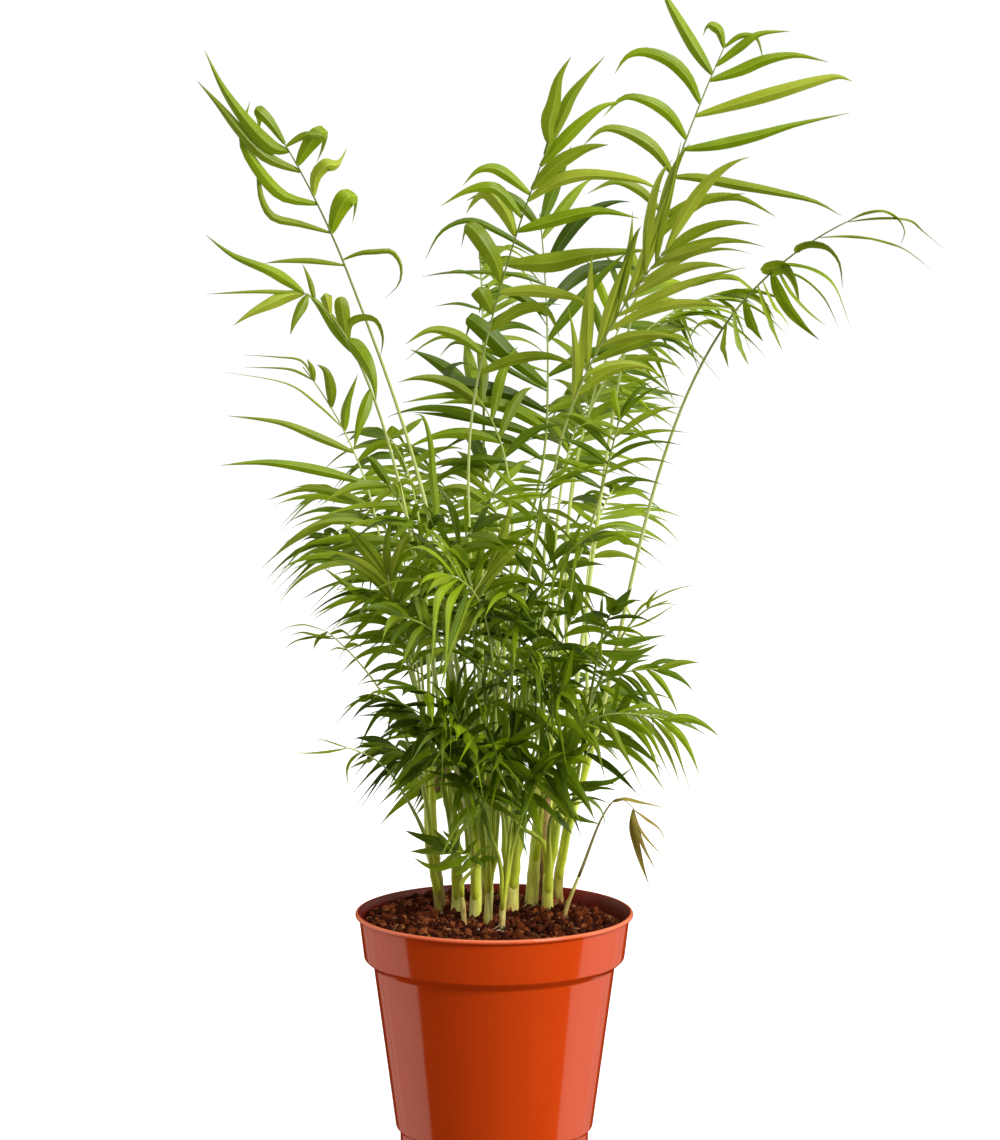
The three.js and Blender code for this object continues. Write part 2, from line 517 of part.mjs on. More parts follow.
// two edges and a keel at the root, one or two places along the leaflet, and a tip
function leafletBlade(frame, leaf, length, rootRadius) {
  const places = leaf.droop * length > 14 ? [[0.26, 0.95], [0.64, 0.8]] : [[0.36, 1.08]];
  const thick = Math.max(0.55, length * 0.0125);
  const rings = [];
  let before = null;
  for (const [t, share] of [[0, 0], ...places]) {
    const p = leafletPoint(frame, leaf, length, t);
    const ahead = leafletPoint(frame, leaf, length, t + 0.02);
    const along = unit(sub(ahead, leafletPoint(frame, leaf, length, t - 0.02)));
    let flat = before ? square(before, along) : unit(cross(along, frame.up));
    before = flat;
    const keel = cross(flat, along);
    const turn = rad(leaf.twist) * Math.min(1, t * 2.5);
    flat = add(mul(flat, Math.cos(turn)), mul(keel, Math.sin(turn)));
    const deep = cross(flat, along);
    const rootHalf = rootRadius * (0.3 + 0.4 * Math.sin(rad(leaf.slant)));
    const half = share === 0 ? rootHalf : leaf.width * share / 2;
    const depth = share === 0 ? rootRadius * 0.45 : thick;
    rings.push([add(p, mul(flat, half)), add(p, mul(flat, -half)), add(p, mul(deep, -depth))]);
  }
  rings.push([leafletPoint(frame, leaf, length, 1)]);
  return skin(rings) ?? skin(rings.map((ring) => ring.slice().reverse()));
}

// true where every edge and every face of a solid is wide enough to keep its shape when rounded
function sound(solid) {
  const faces = facesOf(solid);
  const keys = new Set();
  for (const corner of faces.flat()) {
    keys.add(corner.map((v) => Math.round(v / least.apart)).join(' '));
  }
  if (keys.size < solid.numVert()) return false;
  for (const [a, b, c] of faces) {
    const edges = [size(sub(b, a)), size(sub(c, b)), size(sub(a, c))];
    const height = size(cross(sub(b, a), sub(c, a))) / Math.max(...edges);
    if (Math.min(...edges) < least.edge || height < least.height) return false;
  }
  return true;
}

// the frond as one solid, with the short edges that the joints leave taken out
function tidy(solid) {
  for (const tolerance of [0.05, 0.03, 0.08, 0.12, 0.16, 0.02, 0.01]) {
    const pieces = solid.asOriginal().simplify(tolerance).decompose();
    const plain = pieces.sort((a, b) => b.volume() - a.volume())[0];
    if (sound(plain)) return plain;
  }
  return null;
}

// ---- keeping the pieces clear of one another ----

const placed = [];

function put(owner, solid) {
  placed.push({ owner, solid, box: solid.boundingBox() });
}

function clearOf(owner, solid) {
  const box = solid.boundingBox();
  for (const other of placed) {
    if (other.owner === owner) continue;
    let apart = false;
    for (let k = 0; k < 3; k += 1) {
      if (box.min[k] > other.box.max[k] + gap || box.max[k] < other.box.min[k] - gap) apart = true;
    }
    if (apart) continue;
    if (other.solid.minGap(solid, gap) < gap * 0.999) return false;
  }
  return true;
}

const turns = [[0, 0], [9, 0], [-9, 0], [0, 8], [0, -8], [18, 4], [-18, 4], [26, -10], [-26, -10]];
const sways = [0, 4, -4, 8, -8, 13, -13, 18, -18];
const swings = [0, 35, -35, 70, -70, 110, -110, 150, -150];
const stands = [gap + 0.02, gap + 0.12, gap + 0.25, gap + 0.4, gap + 0.6, gap + 0.8];
const shares = [1, 0.82, 0.64];
const roots = [1, 0.8, 1.2, 0.9, 1.1];

// ---- the whole ----

const group = new THREE.Group();
group.name = 'parlour_palm';

const finish = {
  pot: { color: 0xbe3c14, roughness: 0.25, metalness: 0 },
  soil: { color: 0x46231a, roughness: 0.95, metalness: 0 },
  stem: { color: 0x96aa3c, roughness: 0.5, metalness: 0 },
  frond: { color: 0x5f9014, roughness: 0.45, metalness: 0 },
  dry: { color: 0x8a8a3a, roughness: 0.6, metalness: 0 },
};

function show(name, solid, kind) {
  const mesh = solid.getMesh();
  const geometry = new THREE.BufferGeometry();
  const points = new Float32Array(mesh.numVert * 3);
  for (let i = 0; i < mesh.numVert; i += 1) {
    for (let k = 0; k < 3; k += 1) points[i * 3 + k] = mesh.vertProperties[i * mesh.numProp + k];
  }
  geometry.setAttribute('position', new THREE.BufferAttribute(points, 3));
  geometry.setIndex(new THREE.BufferAttribute(new Uint32Array(mesh.triVerts), 1));
  geometry.computeVertexNormals();
  const item = new THREE.Mesh(geometry, new THREE.MeshStandardMaterial(finish[kind]));
  item.name = name;
  group.add(item);
}

const potBody = potSolid();
put('pot', potBody);
show('pot', potBody, 'pot');

const soilBody = soilSolid();
put('soil', soilBody);
show('soil', soilBody, 'soil');

for (const s of stems) {
  const solid = stemSolid(s);
  put(s.name, solid);
  show(s.name, solid, 'stem');
}

// the first place where a stalk and rib stand clear: round the stem, bowed to a side, a little off
function seat(f) {
  for (const swing of f.at === 1 ? [0] : swings) {
    for (const sway of sways) {
      for (const stand of stands) {
        const line = frondLine(f, sway, swing, stand);
        const solid = tube(line, frondRadii(f), mul(lookOf(f), f.vee < 0 ? -1 : 1));
        if (clearOf(f.name, solid)) return { line, solid };
      }
    }
  }
  throw new Error(`no room for ${f.name}`);
}

const all = [...fronds, ...rest.map(spread)];
const seats = all.map((f) => {
  const found = seat(f);
  put(f.name, found.solid);
  return found;
});

// the first form of a leaflet that stands clear and joins the frond soundly
function growLeaflet(f, line, leaf, whole) {
  const radius = (stalk.neck + (stalk.tip - stalk.neck) * leaf.s) * (f.thin ?? 1);
  for (const share of shares) {
    for (const turn of turns) {
      const frame = leafletFrame(f, line, leaf, turn);
      for (const root of roots) {
        const solid = leafletSolid(frame, leaf, leaf.length * share, radius * root);
        if (!solid || !clearOf(f.name, solid)) break;
        const grown = whole.add(solid);
        const plain = tidy(grown);
        if (plain) return { solid, grown, plain };
      }
    }
  }
  return null;
}

all.forEach((f, index) => {
  const own = seats[index];
  let whole = own.solid;
  let plain = own.solid;
  for (const leaf of leafletPlan(f, 100 + index * 37)) {
    const next = growLeaflet(f, own.line, leaf, whole);
    if (!next) continue;
    whole = next.grown;
    plain = next.plain;
    put(f.name, next.solid);
  }
  show(`frond_${f.name}`, plain, f.dry ? 'dry' : 'frond');
});

export default group;
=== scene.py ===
import math
import bpy
import numpy as np
from mathutils import Matrix, Vector, noise
from mathutils.bvhtree import BVHTree
from mathutils.kdtree import KDTree


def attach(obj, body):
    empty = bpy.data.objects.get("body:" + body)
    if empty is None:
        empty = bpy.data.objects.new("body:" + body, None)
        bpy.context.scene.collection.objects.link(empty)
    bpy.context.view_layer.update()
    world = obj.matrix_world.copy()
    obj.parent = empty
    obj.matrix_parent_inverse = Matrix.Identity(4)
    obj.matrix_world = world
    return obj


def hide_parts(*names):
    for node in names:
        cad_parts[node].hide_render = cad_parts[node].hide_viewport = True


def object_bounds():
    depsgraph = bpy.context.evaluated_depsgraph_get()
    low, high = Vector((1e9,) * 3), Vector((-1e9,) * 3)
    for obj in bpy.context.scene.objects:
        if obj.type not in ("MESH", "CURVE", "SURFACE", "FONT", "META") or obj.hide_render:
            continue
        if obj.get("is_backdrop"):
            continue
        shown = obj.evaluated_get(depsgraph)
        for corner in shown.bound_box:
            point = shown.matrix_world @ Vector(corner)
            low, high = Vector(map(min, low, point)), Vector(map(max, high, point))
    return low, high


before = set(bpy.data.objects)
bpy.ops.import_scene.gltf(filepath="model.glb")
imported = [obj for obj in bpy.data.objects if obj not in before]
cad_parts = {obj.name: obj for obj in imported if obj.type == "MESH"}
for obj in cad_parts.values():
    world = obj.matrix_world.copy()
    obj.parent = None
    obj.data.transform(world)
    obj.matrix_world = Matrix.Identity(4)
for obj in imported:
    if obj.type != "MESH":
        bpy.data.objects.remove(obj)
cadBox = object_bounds()
mm = 0.001  # sizes below are in millimetres, with the pot's underside at z 0
upward = Vector((0, 0, 1))
gap = 0.36  # clear space between any two solids
print("frame loaded:", len(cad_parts), "nodes")


def rgb(red, green, blue):
    # a screen colour, 0 to 255, as the linear colour that nodes take
    parts = []
    for value in (red, green, blue):
        v = value / 255
        parts.append(v / 12.92 if v <= 0.04045 else ((v + 0.055) / 1.055) ** 2.4)
    return (*parts, 1)


def dice(seed):
    # repeatable chances from 0 to 1
    state = seed
    while True:
        state = (state * 1664525 + 1013904223) % 4294967296
        yield state / 4294967296


def square(vector, axis):
    # the part of a vector at right angles to an axis
    return (vector - axis * vector.dot(axis)).normalized()


def smooth(value, low, high):
    # 0 below low, 1 above high, eased between
    t = min(max((value - low) / (high - low), 0), 1)
    return t * t * (3 - 2 * t)


def blend(first, second, share):
    return first + (second - first) * share


def around(radius, turn):
    return radius * math.cos(turn), radius * math.sin(turn)


# a piece is gathered as points, faces, places on the surface and finishes, then made into one mesh

def newParts():
    return {"points": [], "faces": [], "spots": [], "finishes": []}


def addPart(parts, points, faces, spots, finish):
    # finish is one material, or a list with one for each face
    start = len(parts["points"])
    parts["points"] += [tuple(p) for p in points]
    parts["spots"] += list(spots)
    parts["faces"] += [[i + start for i in face] for face in faces]
    parts["finishes"] += finish if isinstance(finish, list) else [finish] * len(faces)


def addThing(name, data):
    thing = bpy.data.objects.new(name, data)
    bpy.context.scene.collection.objects.link(thing)
    return thing


def makePiece(name, parts, nodes=(), sharpAngle=None):
    mesh = bpy.data.meshes.new(name)
    mesh.from_pydata((np.array(parts["points"]) * mm).tolist(), [], parts["faces"])
    used = sorted(set(parts["finishes"]), key=lambda m: m.name)
    place = {material: i for i, material in enumerate(used)}
    for material in used:
        mesh.materials.append(material)
    mesh.polygons.foreach_set("material_index", [place[m] for m in parts["finishes"]])
    mesh.polygons.foreach_set("use_smooth", [True] * len(mesh.polygons))
    corners = np.zeros(len(mesh.loops), int)
    mesh.loops.foreach_get("vertex_index", corners)
    layer = mesh.uv_layers.new(name="surface")
    layer.data.foreach_set("uv", np.array(parts["spots"])[corners].ravel())
    if sharpAngle:
        mesh.set_sharp_from_angle(angle=math.radians(sharpAngle))
    piece = addThing(name, mesh)
    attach(piece, "root")
    if nodes:
        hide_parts(*nodes)
    return piece


def ringFaces(rings, sides, openEnd=False, flipped=False):
    # four-sided faces from ring to ring, with the first and the last ring closed
    faces = []
    for r in range(rings - 1):
        for k in range(sides):
            a = r * sides + k
            b = r * sides + (k + 1) % sides
            faces.append((a, b, b + sides, a + sides))
    faces.append(tuple(reversed(range(sides))))
    if not openEnd:
        faces.append(tuple(range((rings - 1) * sides, rings * sides)))
    return [tuple(reversed(face)) for face in faces] if flipped else faces


def sheetFaces(rows, columns, seam=None):
    # four-sided faces of a sheet, with none in the column of the seam
    faces = []
    for r in range(rows - 1):
        for c in range(columns - 1):
            k = r * columns + c
            if c != seam:
                faces.append((k, k + 1, k + columns + 1, k + columns))
    return faces


def tube(line, radiusAt, sides):
    # a round tube: radiusAt(i, turn) is its radius at point i of the line
    found = []
    spots = []
    length = 0
    side = Vector((1, 0.02, 0.01))
    for i, centre in enumerate(line):
        before = line[max(i - 1, 0)]
        along = (line[min(i + 1, len(line) - 1)] - before).normalized()
        side = square(side, along)
        other = along.cross(side)
        length += (centre - before).length
        for k in range(sides):
            turn = 2 * math.pi * k / sides
            x, y = around(radiusAt(i, turn), turn)
            found.append(centre + side * x + other * y)
            spots.append((abs(2 * k / sides - 1), length / 10))
    return found, ringFaces(len(line), sides), spots


# shader groups

def newGroup(name, inputs, outputs):
    # inputs: name to (socket type, value). outputs: name to socket type
    group = bpy.data.node_groups.new(name, "ShaderNodeTree")
    for label, (kind, value) in inputs.items():
        socket = group.interface.new_socket(name=label, in_out="INPUT", socket_type=kind)
        socket.default_value = value
    for label, kind in outputs.items():
        group.interface.new_socket(name=label, in_out="OUTPUT", socket_type=kind)
    return group, group.nodes.new("NodeGroupInput"), group.nodes.new("NodeGroupOutput")


def calc(tree, operation, *values, clamp=False):
    node = tree.nodes.new("ShaderNodeMath")
    node.operation = operation
    node.use_clamp = clamp
    for i, value in enumerate(values):
        if isinstance(value, (int, float)):
            node.inputs[i].default_value = value
        else:
            tree.links.new(value, node.inputs[i])
    return node.outputs[0]


def placeOn(tree, which, stretch=None):
    # where a point is: "Object" or "UV", stretched by a socket or a triple
    place = tree.nodes.new("ShaderNodeTexCoord").outputs[which]
    if stretch is None:
        return place
    node = tree.nodes.new("ShaderNodeVectorMath")
    node.operation = "MULTIPLY"
    tree.links.new(place, node.inputs[0])
    if isinstance(stretch, tuple):
        node.inputs[1].default_value = stretch
    else:
        tree.links.new(stretch, node.inputs[1])
    return node.outputs[0]


def noiseOn(tree, place, scale, detail=2):
    node = tree.nodes.new("ShaderNodeTexNoise")
    node.inputs["Detail"].default_value = detail
    tree.links.new(place, node.inputs["Vector"])
    if isinstance(scale, (int, float)):
        node.inputs["Scale"].default_value = scale
    else:
        tree.links.new(scale, node.inputs["Scale"])
    return node.outputs["Fac"]


def makeMottle():
    # soft patches over a piece: Mask, 0 to 1, and a finer Grain
    group, given, result = newGroup(
        "mottle",
        {"Scale": ("NodeSocketFloat", 60), "Contrast": ("NodeSocketFloat", 2),
         "Stretch": ("NodeSocketVector", (1, 1, 1))},
        {"Mask": "NodeSocketFloat", "Grain": "NodeSocketFloat"})
    place = placeOn(group, "Object", given.outputs["Stretch"])
    wide = noiseOn(group, place, given.outputs["Scale"], 3)
    level = calc(group, "MULTIPLY", calc(group, "SUBTRACT", wide, 0.5), given.outputs["Contrast"])
    group.links.new(calc(group, "ADD", level, 0.5, clamp=True), result.inputs["Mask"])
    fine = noiseOn(group, place, calc(group, "MULTIPLY", given.outputs["Scale"], 9), 4)
    group.links.new(fine, result.inputs["Grain"])
    return group


def makeVeins():
    # lines along a leaflet: Height of the pleats, and Rib, the line down its middle
    group, given, result = newGroup(
        "veins",
        {"Lines": ("NodeSocketFloat", 6), "Rib width": ("NodeSocketFloat", 0.07)},
        {"Height": "NodeSocketFloat", "Rib": "NodeSocketFloat"})
    split = group.nodes.new("ShaderNodeSeparateXYZ")
    group.links.new(placeOn(group, "UV"), split.inputs[0])
    across = split.outputs["X"]
    turn = calc(group, "MULTIPLY", across, given.outputs["Lines"])
    wave = calc(group, "SINE", calc(group, "MULTIPLY", turn, 2 * math.pi))
    uneven = noiseOn(group, placeOn(group, "UV", (6, 0.5, 1)), 2, 1)
    height = calc(group, "ADD", calc(group, "MULTIPLY", wave, 0.25), uneven)
    group.links.new(height, result.inputs["Height"])
    away = calc(group, "ABSOLUTE", calc(group, "SUBTRACT", across, 0.5))
    near = calc(group, "DIVIDE", away, given.outputs["Rib width"])
    group.links.new(calc(group, "SUBTRACT", 1, near, clamp=True), result.inputs["Rib"])
    return group


def makeStainAndHighlight():
    # a mask, 1 below From and 0 above To with a ragged edge: Mask. It gives the brown that creeps up from
    # the foot of a stem, the olive of the highest ribs, and the painted highlight on the top of the pot's
    # rim
    group, given, result = newGroup(
        "stain",
        {"From": ("NodeSocketFloat", 0.098), "To": ("NodeSocketFloat", 0.112),
         "Ragged": ("NodeSocketFloat", 0.02)},
        {"Mask": "NodeSocketFloat"})
    split = group.nodes.new("ShaderNodeSeparateXYZ")
    group.links.new(placeOn(group, "Object"), split.inputs[0])
    rough = noiseOn(group, placeOn(group, "Object", (1, 1, 0.18)), 900, 3)
    shift = calc(group, "MULTIPLY", calc(group, "SUBTRACT", rough, 0.5), given.outputs["Ragged"])
    height = calc(group, "ADD", split.outputs["Z"], shift)
    rise = calc(group, "SUBTRACT", given.outputs["To"], height)
    span = calc(group, "SUBTRACT", given.outputs["To"], given.outputs["From"])
    group.links.new(calc(group, "DIVIDE", rise, span, clamp=True), result.inputs["Mask"])
    return group


mottle = makeMottle()
veins = makeVeins()
stain = makeStainAndHighlight()


def newFinish(name, base, roughness, specular=0.5):
    material = bpy.data.materials.new(name)
    material.use_nodes = True
    shader = material.node_tree.nodes["Principled BSDF"]
    shader.inputs["Base Color"].default_value = base
    shader.inputs["Roughness"].default_value = roughness
    shader.inputs["Specular IOR Level"].default_value = specular
    material.diffuse_color = base
    return material, material.node_tree, shader


def placeGroup(tree, group, **values):
    node = tree.nodes.new("ShaderNodeGroup")
    node.node_tree = group
    for label, value in values.items():
        node.inputs[label.replace("_", " ")].default_value = value
    return node


def mixColours(tree, share, first, second):
    node = tree.nodes.new("ShaderNodeMix")
    node.data_type = "RGBA"
    tree.links.new(share, node.inputs["Factor"])
    for value, socket in ((first, node.inputs[6]), (second, node.inputs[7])):
        if isinstance(value, tuple):
            socket.default_value = value
        else:
            tree.links.new(value, socket)
    return node.outputs[2]


def spreadValue(tree, value, low, high):
    # 0 to 1 spread over low to high
    node = tree.nodes.new("ShaderNodeMapRange")
    tree.links.new(value, node.inputs["Value"])
    node.inputs["To Min"].default_value = low
    node.inputs["To Max"].default_value = high
    return node.outputs[0]


def addBump(tree, shader, height, strength, distance):
    node = tree.nodes.new("ShaderNodeBump")
    node.inputs["Strength"].default_value = strength
    node.inputs["Distance"].default_value = distance
    tree.links.new(height, node.inputs["Height"])
    tree.links.new(node.outputs["Normal"], shader.inputs["Normal"])


print("shader groups made")


# the pot: a thin plastic shell with a rolled rim and a tall collar

potSet = {
    "height": 105, "rim": 60, "bead": 2.1, "lip": 58.4, "band": 20, "bandFoot": 56.2, "slope": 3.2,
    "shoulder": 52.2, "bodyFoot": 42.6, "foot": 40.6, "footHeight": 9, "step": 1.6, "wall": 1.25,
    "floor": 1.7, "drains": 6, "drainAt": 27, "drainSize": 7,
    "sides": 160, "soften": 0.7,
    "rimSteps": 12, "rimOutside": 9,  # steps of the rolled rim, and how many of them have the outer colour
    "colour": rgb(206, 68, 16), "deep": rgb(200, 62, 10), "roughness": 0.1,
    # painted highlight: above these heights the top of the rolled rim is painted paler all the way round,
    # standing in for the reflection of the light overhead
    "lipHighlightColour": rgb(228, 116, 78), "lipHighlightFrom": 0.1034, "lipHighlightTo": 0.1046,  # heights in metres
    # painted shade: the inner wall and the inner side of the rim are coloured dark red, standing in for the
    # shade inside the pot
    "insideShadeColour": rgb(124, 22, 10), "insideShadeDeep": rgb(92, 12, 6), "insideRoughness": 0.4,
}


def potFinish(name, base, deep, roughness, paintedLipHighlight=False):
    material, tree, shader = newFinish(name, base, roughness, 0.35)
    patches = placeGroup(tree, mottle, Scale=22, Contrast=1.4, Stretch=(1, 1, 0.25))
    colour = mixColours(tree, patches.outputs["Mask"], deep, base)
    if paintedLipHighlight:
        # painted highlight: the top of the rim, above the lip heights, is blended to the paler lip colour
        # in place of the reflection of the light overhead
        below = placeGroup(tree, stain, From=potSet["lipHighlightFrom"], To=potSet["lipHighlightTo"], Ragged=0.0006)
        colour = mixColours(tree, below.outputs["Mask"], potSet["lipHighlightColour"], colour)
    tree.links.new(colour, shader.inputs["Base Color"])
    rough = spreadValue(tree, patches.outputs["Grain"], roughness - 0.03, roughness + 0.04)
    tree.links.new(rough, shader.inputs["Roughness"])
    addBump(tree, shader, patches.outputs["Mask"], 0.12, 0.0004)
    return material


def roundCorners(profile, radius):
    # the profile with each inner corner cut to a short arc
    result = [profile[0]]
    for before, corner, after in zip(profile, profile[1:], profile[2:]):
        a, b, c = Vector(before), Vector(corner), Vector(after)
        first, second = a - b, c - b
        reach = min(radius, first.length * 0.45, second.length * 0.45)
        start = b + first.normalized() * reach
        end = b + second.normalized() * reach
        for step in range(4):
            t = step / 3
            result.append(tuple(start * (1 - t) ** 2 + b * 2 * t * (1 - t) + end * t * t))
    result.append(profile[-1])
    return result


bandFootZ = potSet["height"] - potSet["band"]
innerWall = [
    (potSet["lip"] - potSet["wall"], potSet["height"] - potSet["bead"] - potSet["wall"]),
    (potSet["bandFoot"] - potSet["wall"], bandFootZ - 0.4),
    (potSet["shoulder"] - potSet["wall"], bandFootZ - potSet["slope"] - 0.4),
    (potSet["bodyFoot"] - potSet["wall"], potSet["footHeight"] + potSet["step"] - 0.4),
    (potSet["foot"] + 0.2 - potSet["wall"], potSet["footHeight"] - 0.6),
    (potSet["foot"] - potSet["wall"], potSet["floor"]),
]


def innerRadius(z):
    for (r1, z1), (r0, z0) in zip(innerWall, innerWall[1:]):
        if z0 <= z:
            return r0 + (r1 - r0) * (z - z0) / (z1 - z0)
    return innerWall[-1][0]


def makePot():
    p = potSet
    rolled = []
    for step in range(p["rimSteps"] + 1):
        turn = math.radians(-50 + 200 * step / p["rimSteps"])
        rolled.append((p["rim"] - p["bead"] / 2 * (1 - math.cos(turn)),
                       p["height"] - p["bead"] / 2 * (1 - math.sin(turn))))
    outerWall = [
        (p["foot"], 0), (p["foot"] + 0.2, p["footHeight"]), (p["bodyFoot"], p["footHeight"] + p["step"]),
        (p["shoulder"], bandFootZ - p["slope"]), (p["bandFoot"], bandFootZ),
        (p["lip"], p["height"] - p["bead"]),
    ]
    outside = roundCorners([(0, 0), *outerWall], p["soften"])
    inside = roundCorners([*innerWall, (0, p["floor"])], p["soften"])
    profile = outside + rolled + inside
    points = []
    spots = []
    for i, (radius, z) in enumerate(profile):
        for k in range(p["sides"]):
            turn = 2 * math.pi * k / p["sides"]
            points.append((*around(max(radius, 0.02), turn), z))
            spots.append((k / p["sides"], i / len(profile)))
    outer = potFinish("orange_plastic", p["colour"], p["deep"], p["roughness"], paintedLipHighlight=True)
    # the inside finish is dark red: painted shade of the inner wall and of the inner side of the rim
    shadedInner = potFinish("orange_plastic_inside", p["insideShadeColour"], p["insideShadeDeep"], p["insideRoughness"])
    outerRows = len(outside) + p["rimOutside"]
    finishes = [outer] * (outerRows * p["sides"])
    finishes += [shadedInner] * ((len(profile) - 1 - outerRows) * p["sides"]) + [outer, shadedInner]
    parts = newParts()
    addPart(parts, points, ringFaces(len(profile), p["sides"]), spots, finishes)
    piece = makePiece("pot_shell", parts, ["pot"], sharpAngle=38)
    drills = newParts()
    for k in range(p["drains"]):
        turn = 2 * math.pi * (k + 0.5) / p["drains"]
        centre = Vector((*around(p["drainAt"], turn), 0))
        line = [centre - upward * 3, centre + upward * (p["floor"] + 3)]
        addPart(drills, *tube(line, lambda i, a: p["drainSize"] / 2, 32), outer)
    mesh = bpy.data.meshes.new("drills")
    mesh.from_pydata((np.array(drills["points"]) * mm).tolist(), [], drills["faces"])
    drill = addThing("drills", mesh)
    cut = piece.modifiers.new("drain holes", "BOOLEAN")
    cut.operation = "DIFFERENCE"
    cut.object = drill
    cut.solver = "EXACT"
    holed = bpy.data.meshes.new_from_object(piece.evaluated_get(bpy.context.evaluated_depsgraph_get()))
    piece.modifiers.clear()
    piece.data = holed
    bpy.data.objects.remove(drill)
    print("pot made:", len(holed.polygons), "faces")


makePot()


# the soil: an uneven top of moist compost, with crumbs, fibres, chips and pale bits on it

soilSet = {
    "level": 98, "dish": 1.2, "low": 5.5, "heap": 3.4, "backHeap": 3.6, "lump": 1.1, "clear": 0.42,
    "rings": 70, "sides": 220,
    "crumbs": 2400, "crumbSize": (1.0, 4.4), "fibres": 170, "chips": 26, "paleBits": 14,
    "crumbKinds": ("compost", "compost_dark", "compost_dark", "compost_red", "compost", "compost_dark"),
    "rooted": ("stem_g", "stem_i", "stem_l", "stem_d"), "rootThreads": 5,  # threads at the foot of a stem
    "colours": {
        "compost": (rgb(108, 48, 18), 0.95), "compost_dark": (rgb(64, 20, 3), 0.95),
        "compost_red": (rgb(144, 78, 40), 0.9), "fibre": (rgb(164, 116, 74), 0.85),
        "chip": (rgb(168, 104, 60), 0.8), "pale_bit": (rgb(214, 200, 172), 0.8),
        "root_thread": (rgb(196, 178, 140), 0.7),
    },
}


def soilFinish(name):
    base, roughness = soilSet["colours"][name]
    material, tree, shader = newFinish(name, base, roughness, 0.12)
    patches = placeGroup(tree, mottle, Scale=420, Contrast=2.6)
    dark = tuple(c * 0.5 for c in base[:3]) + (1,)
    tree.links.new(mixColours(tree, patches.outputs["Mask"], dark, base), shader.inputs["Base Color"])
    addBump(tree, shader, patches.outputs["Grain"], 0.5, 0.0004)
    return material


soilFinishes = {name: soilFinish(name) for name in soilSet["colours"]}


def soilHeight(x, y):
    # lumpy, low at the wall, heaped up at the left and at the back
    edge = innerRadius(soilSet["level"])
    share = min(math.hypot(x, y) / edge, 1)
    fall = soilSet["dish"] * share ** 4 * (0.6 + 0.4 * x / edge)
    wide = noise.noise(Vector((x / 13, y / 13, 3)))
    small = noise.noise(Vector((x / 4.2, y / 4.2, 8)))
    fine = noise.noise(Vector((x / 1.6, y / 1.6, 1)))
    heap = soilSet["heap"] * smooth(-x, -5, edge * 0.8)
    heap += soilSet["backHeap"] * smooth(y + 0.6 * x, 0, edge) * smooth(-x, -95, 10)
    return soilSet["level"] - fall + heap + soilSet["lump"] * (wide + 0.6 * small + 0.35 * fine)


def crumb(centre, size, roll):
    # a lump with a broken surface
    points = []
    spots = []
    rings, sides = 5, 7
    offset = Vector((next(roll) * 50, next(roll) * 50, next(roll) * 50))
    stretch = [0.6 + 0.8 * next(roll) for _ in range(3)]
    for r in range(rings):
        tilt = math.pi * (r + 0.5) / rings
        for k in range(sides):
            turn = 2 * math.pi * (k + 0.5 * (r % 2)) / sides
            way = Vector((*around(math.sin(tilt), turn), math.cos(tilt)))
            rough = 1 + 0.7 * noise.noise(way * 1.6 + offset) + 0.55 * noise.noise(way * 4.5 + offset)
            far = size / 2 * rough
            points.append(Vector(centre) + Vector(w * s * far for w, s in zip(way, stretch)))
            spots.append((k / sides, r / rings))
    return points, ringFaces(rings, sides, flipped=True), spots


def onSoil(roll):
    radius = (innerRadius(soilSet["level"]) - 2.2) * math.sqrt(next(roll))
    return around(radius, 2 * math.pi * next(roll))


def makeSoilTop():
    s = soilSet
    edge = innerRadius(s["level"]) - s["clear"]
    points = []
    spots = []
    for r in range(s["rings"] + 1):
        radius = max(edge * r / s["rings"], 0.05)
        for k in range(s["sides"]):
            x, y = around(radius, 2 * math.pi * k / s["sides"])
            points.append((x, y, soilHeight(x, y)))
            spots.append((x / 120, y / 120))
    rings = s["rings"] + 1
    for depth in (2, s["low"]):
        low = innerRadius(s["level"] - depth) - s["clear"]
        for k in range(s["sides"]):
            points.append((*around(low, 2 * math.pi * k / s["sides"]), s["level"] - depth))
            spots.append((k / s["sides"], depth / 9))
        rings += 1
    parts = newParts()
    faces = ringFaces(rings, s["sides"], openEnd=True, flipped=True)
    addPart(parts, points, faces, spots, soilFinishes["compost"])
    makePiece("soil_top", parts, ["soil"])


def makeCrumbs(roll):
    s = soilSet
    crumbs = newParts()
    for _ in range(s["crumbs"]):
        x, y = onSoil(roll)
        size = blend(*s["crumbSize"], next(roll) ** 2.2)
        kind = s["crumbKinds"][int(next(roll) * len(s["crumbKinds"]))]
        centre = (x, y, soilHeight(x, y) + size * (0.3 * next(roll) - 0.05))
        addPart(crumbs, *crumb(centre, size, roll), soilFinishes[kind])
    makePiece("soil_crumbs", crumbs, ["soil"])
    return len(crumbs["points"])


